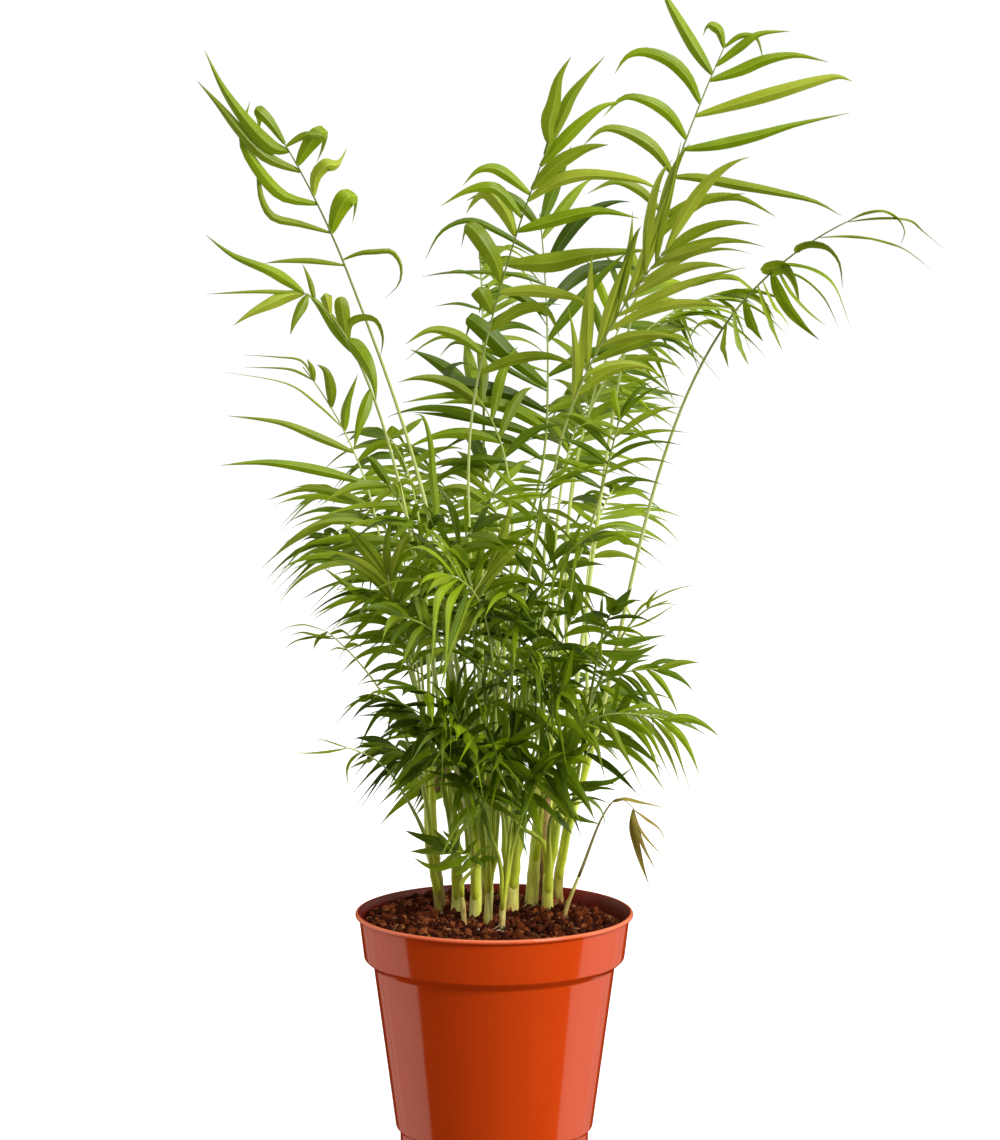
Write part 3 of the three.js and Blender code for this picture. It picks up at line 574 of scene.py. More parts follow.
def makeLitter(roll):
    # fibres and chips all over, pale bits near the stems and root threads at the feet of some
    s = soilSet
    litter = newParts()
    for _ in range(s["fibres"]):
        x, y = onSoil(roll)
        turn = 2 * math.pi * next(roll)
        length = 3 + 7 * next(roll)
        bend = next(roll) - 0.5
        line = []
        for step in range(7):
            t = step / 6 - 0.5
            dx, dy = around(length * t, turn + bend * 2.4 * t)
            if math.hypot(x + dx, y + dy) > innerRadius(s["level"]) - 1.2:
                continue
            line.append(Vector((x + dx, y + dy, soilHeight(x + dx, y + dy) + 0.45 + 0.5 * next(roll))))
        if len(line) < 3:
            continue
        thick = 0.14 + 0.2 * next(roll)
        addPart(litter, *tube(line, lambda i, a: thick, 5), soilFinishes["fibre"])
    for _ in range(s["chips"]):
        x, y = onSoil(roll)
        if next(roll) < 0.6:
            x, y = -abs(x), -abs(y)
        addPart(litter, *crumb((x, y, soilHeight(x, y) + 0.5), 1.6 + 2.4 * next(roll) ** 2, roll),
                soilFinishes["chip"])
    for _ in range(s["paleBits"]):
        stem = stems[int(next(roll) * len(stems))]
        x = stem["foot"][0] + 14 * (next(roll) - 0.5)
        y = stem["foot"][1] - 3 - 6 * next(roll)
        addPart(litter, *crumb((x, y, soilHeight(x, y) + 0.4), 1.0 + 1.3 * next(roll) ** 2, roll),
                soilFinishes["pale_bit"])
    for name in s["rooted"]:
        foot = next(stem for stem in stems if stem["name"] == name)["foot"]
        for _ in range(s["rootThreads"]):
            turn = -math.pi * (0.15 + 0.7 * next(roll))
            reach = 5 + 6 * next(roll)
            line = []
            for step in range(8):
                t = step / 7
                dx, dy = around(reach * t, turn + 0.5 * math.sin(3 * t + turn * 5))
                x, y = foot[0] + dx, foot[1] + dy
                line.append(Vector((x, y, blend(soilHeight(*foot) + 3, soilHeight(x, y), t ** 0.6) + 0.2)))
            addPart(litter, *tube(line, lambda i, a: 0.24 - 0.02 * i, 5), soilFinishes["root_thread"])
    makePiece("soil_litter", litter, ["soil"])
    return len(litter["points"])


# a stem's foot stands on the soil and its head is its cut top. girth and neck are diameters
stems = [
    dict(name="stem_a", foot=(-23, 24), head=(-27, 20, 150), girth=5.4, neck=3.8, bow=-1.5),
    dict(name="stem_b", foot=(-16.5, 19), head=(-20, 8, 165), girth=5.2, neck=3.4, bow=1),
    dict(name="stem_c", foot=(-13, -2), head=(-14, -4, 116), girth=2.4, neck=1.9, bow=0),
    dict(name="stem_d", foot=(-8.5, 14), head=(-11, 10, 168), girth=5.2, neck=3.4, bow=1),
    dict(name="stem_e", foot=(-5, 35), head=(-5, 40, 160), girth=5, neck=3.2, bow=1.5),
    dict(name="stem_f", foot=(-3, 0), head=(-2, -3, 152), girth=3.6, neck=2.8, bow=0.8),
    dict(name="stem_g", foot=(3, -6), head=(6, -9, 140), girth=2.8, neck=2.2, bow=0.5),
    dict(name="stem_h", foot=(7, 24), head=(9, 16, 166), girth=6.8, neck=4.2, bow=0.6),
    dict(name="stem_i", foot=(16, 33), head=(20, 25, 160), girth=6, neck=3.8, bow=0.8),
    dict(name="stem_j", foot=(20, 46), head=(24, 56, 152), girth=5, neck=3.4, bow=0.6),
    dict(name="stem_k", foot=(23.5, 27), head=(29, 21, 158), girth=5, neck=3.4, bow=-0.8),
    dict(name="stem_l", foot=(28, 38), head=(38, 33, 154), girth=4.8, neck=3.2, bow=-1),
    dict(name="stem_m", foot=(30, 13), head=(38, 9, 122), girth=2, neck=1.6, bow=0.4),
]

# a frond leaves its stem at a share of its height, 1 being the cut top: its stalk ends at the neck and its
# rib at the tip. arch: how far the rib bows up. face: turn and height of the way that its upper side faces.
# vee: how far the leaflets rise from the rib. pairs, leaf, width, slant and droop are those of the leaflets
fronds = [
    dict(name="left_tall", stem="stem_d", at=1, neck=(-62, 2, 380), tip=(-88, -14, 436), arch=0,
        hold=1.5, face=(-90, 0), vee=0, pairs=5, leaf=52, width=5.4, slant=(50, 26), droop=-0.3,
        right=dict(vee=46, leaf=46, droop=0.62, slant=(44, 30), width=7), end=((50, 17), (24, 4))),
    dict(name="left_bright", stem="stem_b", at=1, neck=(-59, -40, 352), tip=(-78, -66, 377), arch=0,
        face=(-90, 10), vee=0, pairs=3, leaf=42, width=5.6, slant=(98, 56), droop=0.04,
        right=dict(vee=45, leaf=34, droop=0.7, slant=(50, 40)), end=((45, 22), (22, 30))),
    dict(name="left_wide", stem="stem_a", at=1, neck=(-50, 20, 268), tip=(-83, 40, 337), arch=0.9,
        face=(-90, 5), vee=4, pairs=6, leaf=60, width=5, slant=(58, 30), droop=0.2,
        right=dict(vee=40, leaf=42, droop=0.4, slant=(46, 34), width=6.4), end=((25, 36), (24, 20))),
    dict(name="left_shoulder", stem="stem_d", at=0.64, neck=(-27, -14, 252), tip=(-44, -34, 294),
        arch=0.08, face=(-90, 10), vee=4, pairs=4, leaf=56, width=5.6, slant=(50, 44), droop=0.26,
        right=dict(vee=30, leaf=36, droop=0.6, slant=(50, 34)), end=((36, 60), (30, 10))),
    dict(name="left_fan", stem="stem_b", at=0.8, neck=(-39, -8, 222), tip=(-45, -20, 254), arch=0.05,
        face=(-90, 10), vee=6, pairs=5, leaf=42, width=5.6, slant=(60, 26), droop=0.1),
    dict(name="left_low", stem="stem_a", at=0.7, neck=(-43, -22, 196), tip=(-70, -40, 233), arch=0.16,
        face=(10, 45), vee=12, pairs=6, leaf=28, width=5.4, slant=(52, 26), droop=0.42,
        end=((30, 24), (28, 8))),
    dict(name="left_hanging", stem="stem_a", at=0.4, neck=(-41, -18, 164), tip=(-63, -36, 183),
        arch=0.4, face=(10, 60), vee=-8, pairs=5, leaf=22, width=5, slant=(60, 30), droop=0.6,
        end=((24, 14), (22, 10))),
    dict(name="left_foot", stem="stem_c", at=1, neck=(-8, -10, 128), tip=(-19, -24, 136), arch=0.3,
        face=(-120, 55), vee=-4, pairs=3, leaf=30, width=6, slant=(56, 30), droop=0.12),
    dict(name="left_inner", stem="stem_b", at=0.55, neck=(-20, -30, 223), tip=(-38, -48, 240), arch=0.3,
        face=(-120, 60), vee=-10, pairs=5, leaf=34, width=6, slant=(60, 34), droop=0.45),
    dict(name="left_tuft", stem="stem_b", at=0.3, neck=(-29, -26, 188), tip=(-39, -42, 203), arch=0.3,
        face=(-120, 55), vee=-8, pairs=4, leaf=25, width=6, slant=(64, 34), droop=0.3),
    dict(name="right_tall", stem="stem_k", at=1, neck=(66, 34, 386), tip=(100, 52, 476), arch=0,
        face=(-90, 0), vee=0, pairs=6, leaf=76, width=6.6, slant=(56, 48), droop=0.14,
        left=dict(droop=0.68, slant=(60, 50), leaf=80, width=6), shift=(0.2, 0.85),
        end=((58, 46), (20, -20))),
    dict(name="middle_tall", stem="stem_f", at=1, neck=(-7, 6, 335), tip=(23, -24, 436), arch=-0.1,
        face=(-80, 0), vee=6, pairs=6, leaf=66, width=7.4, slant=(64, 30), droop=0.1,
        left=dict(droop=0.7, slant=(44, 30), leaf=46, vee=20, width=7.6)),
    dict(name="middle_back", stem="stem_e", at=1, neck=(23, 56, 312), tip=(20, 84, 401), arch=0.05,
        face=(-90, 5), vee=0, pairs=6, leaf=58, width=8, slant=(52, 30), droop=0.5,
        right=dict(slant=(62, 34), droop=0.2, leaf=62)),
    dict(name="young_spear", stem="stem_i", at=1, neck=(33, -18, 326), tip=(72, -44, 394), arch=0.03,
        face=(-90, 0), vee=6, pairs=5, leaf=70, width=6.2, slant=(27, 10), droop=0.02,
        right=dict(slant=(38, 28), leaf=58, droop=0.12)),
    dict(name="right_back", stem="stem_j", at=1, neck=(42, 60, 318), tip=(65, 96, 366), arch=0.06,
        face=(-70, 10), vee=0, pairs=5, leaf=48, width=7, slant=(60, 34), droop=0.3),
    dict(name="right_arching", stem="stem_l", at=1, neck=(95, -26, 358), tip=(145, -52, 405), arch=0.1,
        face=(100, 80), vee=-34, pairs=6, leaf=42, width=6.4, slant=(50, 26), droop=0.6,
        end=((42, 12), (38, 14))),
    dict(name="right_behind", stem="stem_k", at=0.75, neck=(47, 36, 330), tip=(101, 66, 368), arch=0.16,
        face=(120, 80), vee=-28, pairs=7, leaf=40, width=6, slant=(54, 26), droop=0.45),
    dict(name="right_edge", stem="stem_h", at=1, neck=(45, -34, 292), tip=(52, -52, 324), arch=0.1,
        face=(-70, 50), vee=-8, pairs=6, leaf=36, width=5, slant=(70, 40), droop=0.12),
    dict(name="right_thin", stem="stem_k", at=0.5, neck=(55, -24, 230), tip=(73, -40, 246), arch=0.2,
        face=(-60, 75), vee=-4, pairs=5, leaf=30, width=4.6, slant=(50, 24), droop=0.06),
    dict(name="right_arcs", stem="stem_l", at=0.7, neck=(40, -10, 201), tip=(69, -28, 215), arch=0.25,
        face=(-80, 70), vee=-10, pairs=6, leaf=26, width=5.4, slant=(58, 28), droop=0.4),
    dict(name="right_low", stem="stem_i", at=0.55, neck=(35, -26, 189), tip=(71, -44, 196), arch=0.3,
        face=(-85, 72), vee=-16, pairs=6, leaf=33, width=5.6, slant=(56, 24), droop=0.45),
    dict(name="right_foot", stem="stem_k", at=0.35, neck=(25, 2, 147), tip=(35, -14, 160), arch=0.2,
        face=(-70, 60), vee=-6, pairs=3, leaf=26, width=6.4, slant=(62, 34), droop=0.3),
    dict(name="right_tuft", stem="stem_l", at=0.45, neck=(44, -34, 224), tip=(49, -50, 243), arch=0.2,
        face=(-70, 50), vee=-6, pairs=4, leaf=26, width=6.4, slant=(60, 34), droop=0.26),
    dict(name="right_dry", stem="stem_m", at=1, neck=(51, 0, 153), tip=(60, -8, 151), arch=0.5,
        thin=0.6, dry=True, face=(0, 85), vee=-30, pairs=2, leaf=29, width=4.4, slant=(40, 30), droop=1,
        end=((26, 20), (24, 12))),
    dict(name="inner_young", stem="stem_d", at=0.3, neck=(-17, -30, 224), tip=(-3, -36, 258), arch=0.1,
        face=(-90, 10), vee=10, pairs=3, leaf=42, width=4.6, slant=(24, 18), droop=0),
    dict(name="middle_a", stem="stem_g", at=1, neck=(2, -20, 217), tip=(11, -42, 240), arch=0.2,
        face=(-90, 45), vee=0, pairs=4, leaf=36, width=6, slant=(70, 36), droop=0.2),
    dict(name="middle_b", stem="stem_d", at=0.4, neck=(-20, -22, 249), tip=(-9, -40, 276), arch=0.2,
        face=(-90, 35), vee=0, pairs=5, leaf=38, width=5.6, slant=(60, 30), droop=0.2),
    dict(name="middle_c", stem="stem_h", at=0.35, neck=(18, -4, 232), tip=(24, -16, 260), arch=0.2,
        face=(-90, 35), vee=0, pairs=4, leaf=38, width=6, slant=(64, 34), droop=0.24),
    dict(name="middle_d", stem="stem_d", at=0.55, neck=(-13, -16, 180), tip=(-17, -36, 203), arch=0.2,
        face=(-90, 40), vee=0, pairs=4, leaf=32, width=6, slant=(66, 34), droop=0.24),
    dict(name="middle_e", stem="stem_h", at=0.6, neck=(22, -30, 190), tip=(29, -48, 211), arch=0.2,
        face=(-80, 45), vee=0, pairs=4, leaf=34, width=6, slant=(66, 34), droop=0.24),
    dict(name="middle_f", stem="stem_e", at=0.7, neck=(5, 34, 296), tip=(-9, 44, 326), arch=0.2,
        face=(-90, 20), vee=0, pairs=4, leaf=48, width=7.6, slant=(60, 30), droop=0.3),
    dict(name="hub_low", stem="stem_g", at=0.7, neck=(2, -34, 173), tip=(5, -52, 188), arch=0.2,
        face=(-90, 45), vee=0, pairs=4, leaf=32, width=7, slant=(74, 40), droop=0.2),
    dict(name="hub_high", stem="stem_f", at=0.8, neck=(18, -30, 277), tip=(21, -58, 298), arch=0.2,
        face=(-90, 45), vee=0, pairs=6, leaf=46, width=6, slant=(74, 36), droop=0.22),
]

# fronds that fill the front and the back: turn is the way they lean, in degrees
fillShared = dict(arch=0.3, vee=-8, width=6.6, slant=(64, 30), droop=0.34)
fillFronds = [
    dict(name="front_high", stem="stem_h", at=0.8, turn=-108, reach=40, rise=104, rib=46, leaf=42),
    dict(name="front_mid", stem="stem_h", at=0.55, turn=-92, reach=52, rise=92, rib=44, leaf=38),
    dict(name="front_hub", stem="stem_f", at=0.5, turn=-128, reach=44, rise=66, rib=38, leaf=34),
    dict(name="front_left", stem="stem_d", at=0.8, turn=-116, reach=44, rise=104, rib=44, leaf=40),
    dict(name="back_high", stem="stem_e", at=0.8, turn=92, reach=46, rise=196, rib=76, leaf=52),
    dict(name="back_right", stem="stem_j", at=0.8, turn=66, reach=40, rise=150, rib=66, leaf=46),
    dict(name="back_left", stem="stem_a", at=0.85, turn=108, reach=40, rise=130, rib=62, leaf=42),
    dict(name="back_mid", stem="stem_e", at=0.55, turn=106, reach=46, rise=92, rib=54, leaf=38),
    dict(name="back_low", stem="stem_j", at=0.5, turn=84, reach=44, rise=56, rib=46, leaf=32),
    dict(name="back_far", stem="stem_l", at=0.85, turn=74, reach=46, rise=104, rib=56, leaf=40),
    dict(name="back_foot", stem="stem_e", at=0.35, turn=130, reach=34, rise=40, rib=40, leaf=30),
]


# stems: canes wrapped in old leaf sheaths, each with its own brown or pale foot

stemSet = {
    "sides": 26, "rings": 70, "socketDepth": 2.6, "sheathLength": 17, "sheathEdge": 0.22, "groove": 0.05,
    "flare": 0.12, "flareEnd": 14,  # widening at the foot, and how soon it ends
}
witheredSet = {
    "rows": 22, "columns": 9, "length": 17, "width": 2.6, "curl": 1.6, "endCurl": 1.4, "ripple": 0.5,
}
stemColours = {
    "green": rgb(206, 218, 64), "paleGreen": rgb(240, 242, 140), "dullGreen": rgb(204, 208, 104),
    "straw": rgb(188, 160, 96), "tan": rgb(180, 130, 78), "brown": rgb(124, 78, 36),
    "darkBrown": rgb(70, 40, 20),
}
# of each kind its base, patches and foot, and the height where the foot's colour ends, in metres
stemKinds = {
    "green": ("green", "paleGreen", "straw", 0.112),
    "brown_foot": ("green", "paleGreen", "brown", 0.14),
    "brown": ("brown", "straw", "darkBrown", 0.125),
    "pale": ("paleGreen", "green", "straw", 0.118),
    "thin": ("dullGreen", "paleGreen", "tan", 0.12),
}
stemLooks = {
    "stem_a": "brown_foot", "stem_b": "green", "stem_c": "thin", "stem_d": "green", "stem_e": "brown_foot",
    "stem_f": "green", "stem_g": "thin", "stem_h": "pale", "stem_i": "pale", "stem_j": "brown",
    "stem_k": "green", "stem_l": "brown_foot", "stem_m": "thin",
}


def stemFinish(kind):
    *names, footTop = stemKinds[kind]
    base, patch, foot = (stemColours[name] for name in names)
    material, tree, shader = newFinish("stem_" + kind, base, 0.38, 0.5)
    streaks = placeGroup(tree, mottle, Scale=300, Contrast=3, Stretch=(1, 1, 0.06))
    colour = mixColours(tree, streaks.outputs["Mask"], base, patch)
    browned = placeGroup(tree, stain, From=0.092, To=footTop, Ragged=0.05)
    colour = mixColours(tree, browned.outputs["Mask"], colour, foot)
    tree.links.new(colour, shader.inputs["Base Color"])
    tree.links.new(spreadValue(tree, streaks.outputs["Grain"], 0.32, 0.56), shader.inputs["Roughness"])
    addBump(tree, shader, streaks.outputs["Grain"], 0.3, 0.0003)
    return material


stemFinishes = {kind: stemFinish(kind) for kind in stemKinds}


def stemPoint(s, t):
    # upright at the foot, then leaning to the head, bowed sideways
    foot = Vector((*s["foot"], soilSet["level"] - stemSet["socketDepth"] + gap))
    span = Vector(s["head"]) - foot
    lean = t * t * (1.6 - 0.6 * t)
    bow = s["bow"] * 4 * t * (1 - t)
    return foot + Vector((span.x * lean + bow, span.y * lean, span.z * t))


def stemRadius(s, t):
    flare = s["girth"] * stemSet["flare"] * math.exp(-t * stemSet["flareEnd"])
    return (s["girth"] + (s["neck"] - s["girth"]) * t) / 2 + flare


def stemAlong(s, t):
    return (stemPoint(s, min(t + 0.02, 1)) - stemPoint(s, min(t, 0.98) - 0.02)).normalized()


def makeStem(s, index):
    roll = dice(900 + index)
    length = s["head"][2] - soilSet["level"]
    count = max(1, round(length / stemSet["sheathLength"]))
    edges = [(k + 0.6 + 0.5 * next(roll)) / (count + 0.6) for k in range(count)]
    facing = [2 * math.pi * next(roll) for _ in edges]
    rings = stemSet["rings"]
    line = [stemPoint(s, i / rings) for i in range(rings + 1)]

    def radiusAt(i, turn):
        t = i / rings
        radius = stemRadius(s, t)
        for edge, face in zip(edges, facing):
            lip = edge + 0.13 * math.cos(turn - face)
            radius -= stemSet["sheathEdge"] / count * smooth(t, lip - 0.012, lip + 0.012)
            radius += 0.14 * math.exp(-((t - lip + 0.03) / 0.03) ** 2)
        groove = 0.6 * math.cos(9 * turn + index) + 0.4 * math.cos(17 * turn + 2 * index)
        return radius + stemSet["groove"] * groove

    parts = newParts()
    addPart(parts, *tube(line, radiusAt, stemSet["sides"]), stemFinishes[stemLooks[s["name"]]])
    makePiece(s["name"] + "_sheathed", parts, [s["name"]])


def makeWithered():
    # a curled scrap of dry sheath that hangs from the top of stem_b
    parts = newParts()
    points = []
    spots = []
    start = stemPoint(stems[1], 0.99)
    rows, columns = witheredSet["rows"], witheredSet["columns"]
    for r in range(rows):
        t = r / (rows - 1)
        middle = start + Vector((-3.2 * t - 1.6, -2.5, 9 - witheredSet["length"] * t))
        half = witheredSet["width"] * math.sin(math.pi * (0.12 + 0.8 * t)) + 0.3
        for c in range(columns):
            a = (c / (columns - 1) - 0.5) * (witheredSet["curl"] + witheredSet["endCurl"] * t)
            ripple = witheredSet["ripple"] * noise.noise(Vector((c * 0.5, r * 0.35, 4)))
            shift = (half * math.sin(a), -half * math.cos(a) * 0.7 + ripple, 0.7 * ripple)
            points.append(middle + Vector(shift))
            spots.append((c / (columns - 1), t))
    addPart(parts, points, sheetFaces(rows, columns), spots, stemFinishes["brown"])
    makePiece("withered_sheath", parts)


makeSoilTop()
roll = dice(77)
print("soil made:", makeCrumbs(roll) + makeLitter(roll), "points of crumbs and litter")
for index, s in enumerate(stems):
    makeStem(s, index)
makeWithered()
print("stems made:", len(stems))


# fronds: a stalk and rib with leaflets, grown by the same rule and chances as the solids

stalkSet = {
    "foot": 1.3, "neck": 0.95, "tip": 0.5, "steps": 5, "ribSteps": 4,  # as the solids have them
    "thinNeck": 0.58, "end": 0.32, "slim": 0.86, "sheath": 11,
    "sides": 9, "smoothSteps": 26, "smoothRib": 18,
    "base": {"pale": rgb(188, 200, 98), "green": rgb(164, 180, 68), "deep": rgb(138, 158, 44),
             "dry": rgb(158, 140, 84)},
    "patch": {"pale": rgb(208, 216, 140), "green": rgb(190, 202, 108), "deep": rgb(170, 186, 84),
              "dry": rgb(178, 162, 104)},
    "olive": rgb(112, 130, 48), "oliveFrom": 0.27, "oliveTo": 0.4,  # heights in metres
}
leafSet = {
    "steps": 15, "columns": 4, "fold": 20, "curl": 10, "wave": 0.08, "hang": 0.22, "bend": 0.14,
    "foot": 0.26, "broadest": 0.36,  # how wide it is at its foot, and where it is broadest
    "kink": 2.6, "kinkFrom": 0.5,  # how sharply a leaflet bends over that droops by more than this
    "veinLines": 6, "veinBump": 0.3, "roughness": 0.38, "specular": 0.36, "through": 0.36,
}
leafColours = {
    "young": (rgb(176, 188, 58), rgb(152, 168, 34)),
    "bright": (rgb(146, 164, 34), rgb(118, 140, 14)),
    "mid": (rgb(150, 174, 20), rgb(118, 144, 8)),
    "deep": (rgb(112, 138, 8), rgb(84, 110, 4)),
    "dark": (rgb(76, 100, 5), rgb(58, 80, 3)),
    "dry": (rgb(176, 174, 70), rgb(156, 126, 54)),
}
# how often each colour comes in a frond of each tone
tones = {
    "young": {"young": 0.75, "bright": 0.25},
    "bright": {"bright": 0.6, "young": 0.2, "mid": 0.2},
    "mid": {"mid": 0.5, "bright": 0.25, "deep": 0.25},
    "deep": {"deep": 0.5, "mid": 0.3, "dark": 0.2},
    "dry": {"dry": 1.0},
}
# tone of each frond, leaflets that fill each space between two, smaller fronds beside it, leaflet width
frondLooks = {
    "left_tall": ("bright", 0, 0, 1.05), "left_bright": ("bright", 0, 0, 1),
    "left_wide": ("bright", 0, 0, 0.9), "left_shoulder": ("mid", 0, 1, 0.8),
    "left_fan": ("bright", 1, 0, 0.72), "left_low": ("bright", 0, 0, 0.62),
    "left_hanging": ("bright", 0, 0, 0.62), "left_foot": ("mid", 0, 0, 0.84),
    "left_inner": ("mid", 0, 0, 0.76), "left_tuft": ("deep", 0, 0, 0.76),
    "right_tall": ("bright", 0, 0, 1), "middle_tall": ("bright", 0, 0, 1),
    "middle_back": ("deep", 0, 0, 0.86), "young_spear": ("young", 1, 0, 0.85),
    "right_back": ("mid", 0, 0, 0.8), "right_arching": ("bright", 0, 0, 0.95),
    "right_behind": ("mid", 1, 0, 0.8), "right_edge": ("mid", 0, 0, 0.8),
    "right_thin": ("bright", 0, 0, 0.34), "right_arcs": ("mid", 0, 1, 0.66),
    "right_low": ("mid", 0, 0, 0.7), "right_foot": ("deep", 0, 1, 0.74),
    "right_tuft": ("deep", 0, 1, 0.8), "right_dry": ("dry", 0, 0, 0.9),
    "inner_young": ("young", 0, 0, 0.9), "middle_a": ("deep", 0, 2, 0.8), "middle_b": ("mid", 0, 1, 0.8),
    "middle_c": ("deep", 0, 2, 0.8), "middle_d": ("deep", 1, 2, 0.9), "middle_e": ("deep", 0, 3, 0.84),
    "middle_f": ("mid", 0, 1, 0.8), "hub_low": ("deep", 1, 4, 0.9), "hub_high": ("mid", 0, 2, 0.74),
    "front_high": ("mid", 0, 1, 0.8), "front_mid": ("deep", 0, 1, 0.76),
    "front_hub": ("deep", 0, 3, 0.84), "front_left": ("deep", 0, 2, 0.8),
    "back_high": ("mid", 1, 0, 0.76), "back_right": ("mid", 2, 0, 0.84), "back_left": ("mid", 1, 3, 0.84),
    "back_mid": ("deep", 1, 3, 0.86), "back_low": ("deep", 1, 3, 0.86), "back_far": ("mid", 1, 0, 0.84),
    "back_foot": ("deep", 1, 4, 0.86),
}
# fronds whose leaflets lie at another angle than their solid's, or reach less far, left and right
turned = {
    "left_tuft": {"reach": (0.75, 0.75)}, "left_shoulder": {"reach": (0.85, 1)},
    "right_low": {"face": (-100, 45), "vee": 6, "reach": (0.92, 0.92)},
    "left_inner": {"face": (-90, 35), "vee": 4, "reach": (0.6, 0.8)},
    "right_arcs": {"face": (-90, 40), "vee": 8, "reach": (0.9, 0.9)},
}
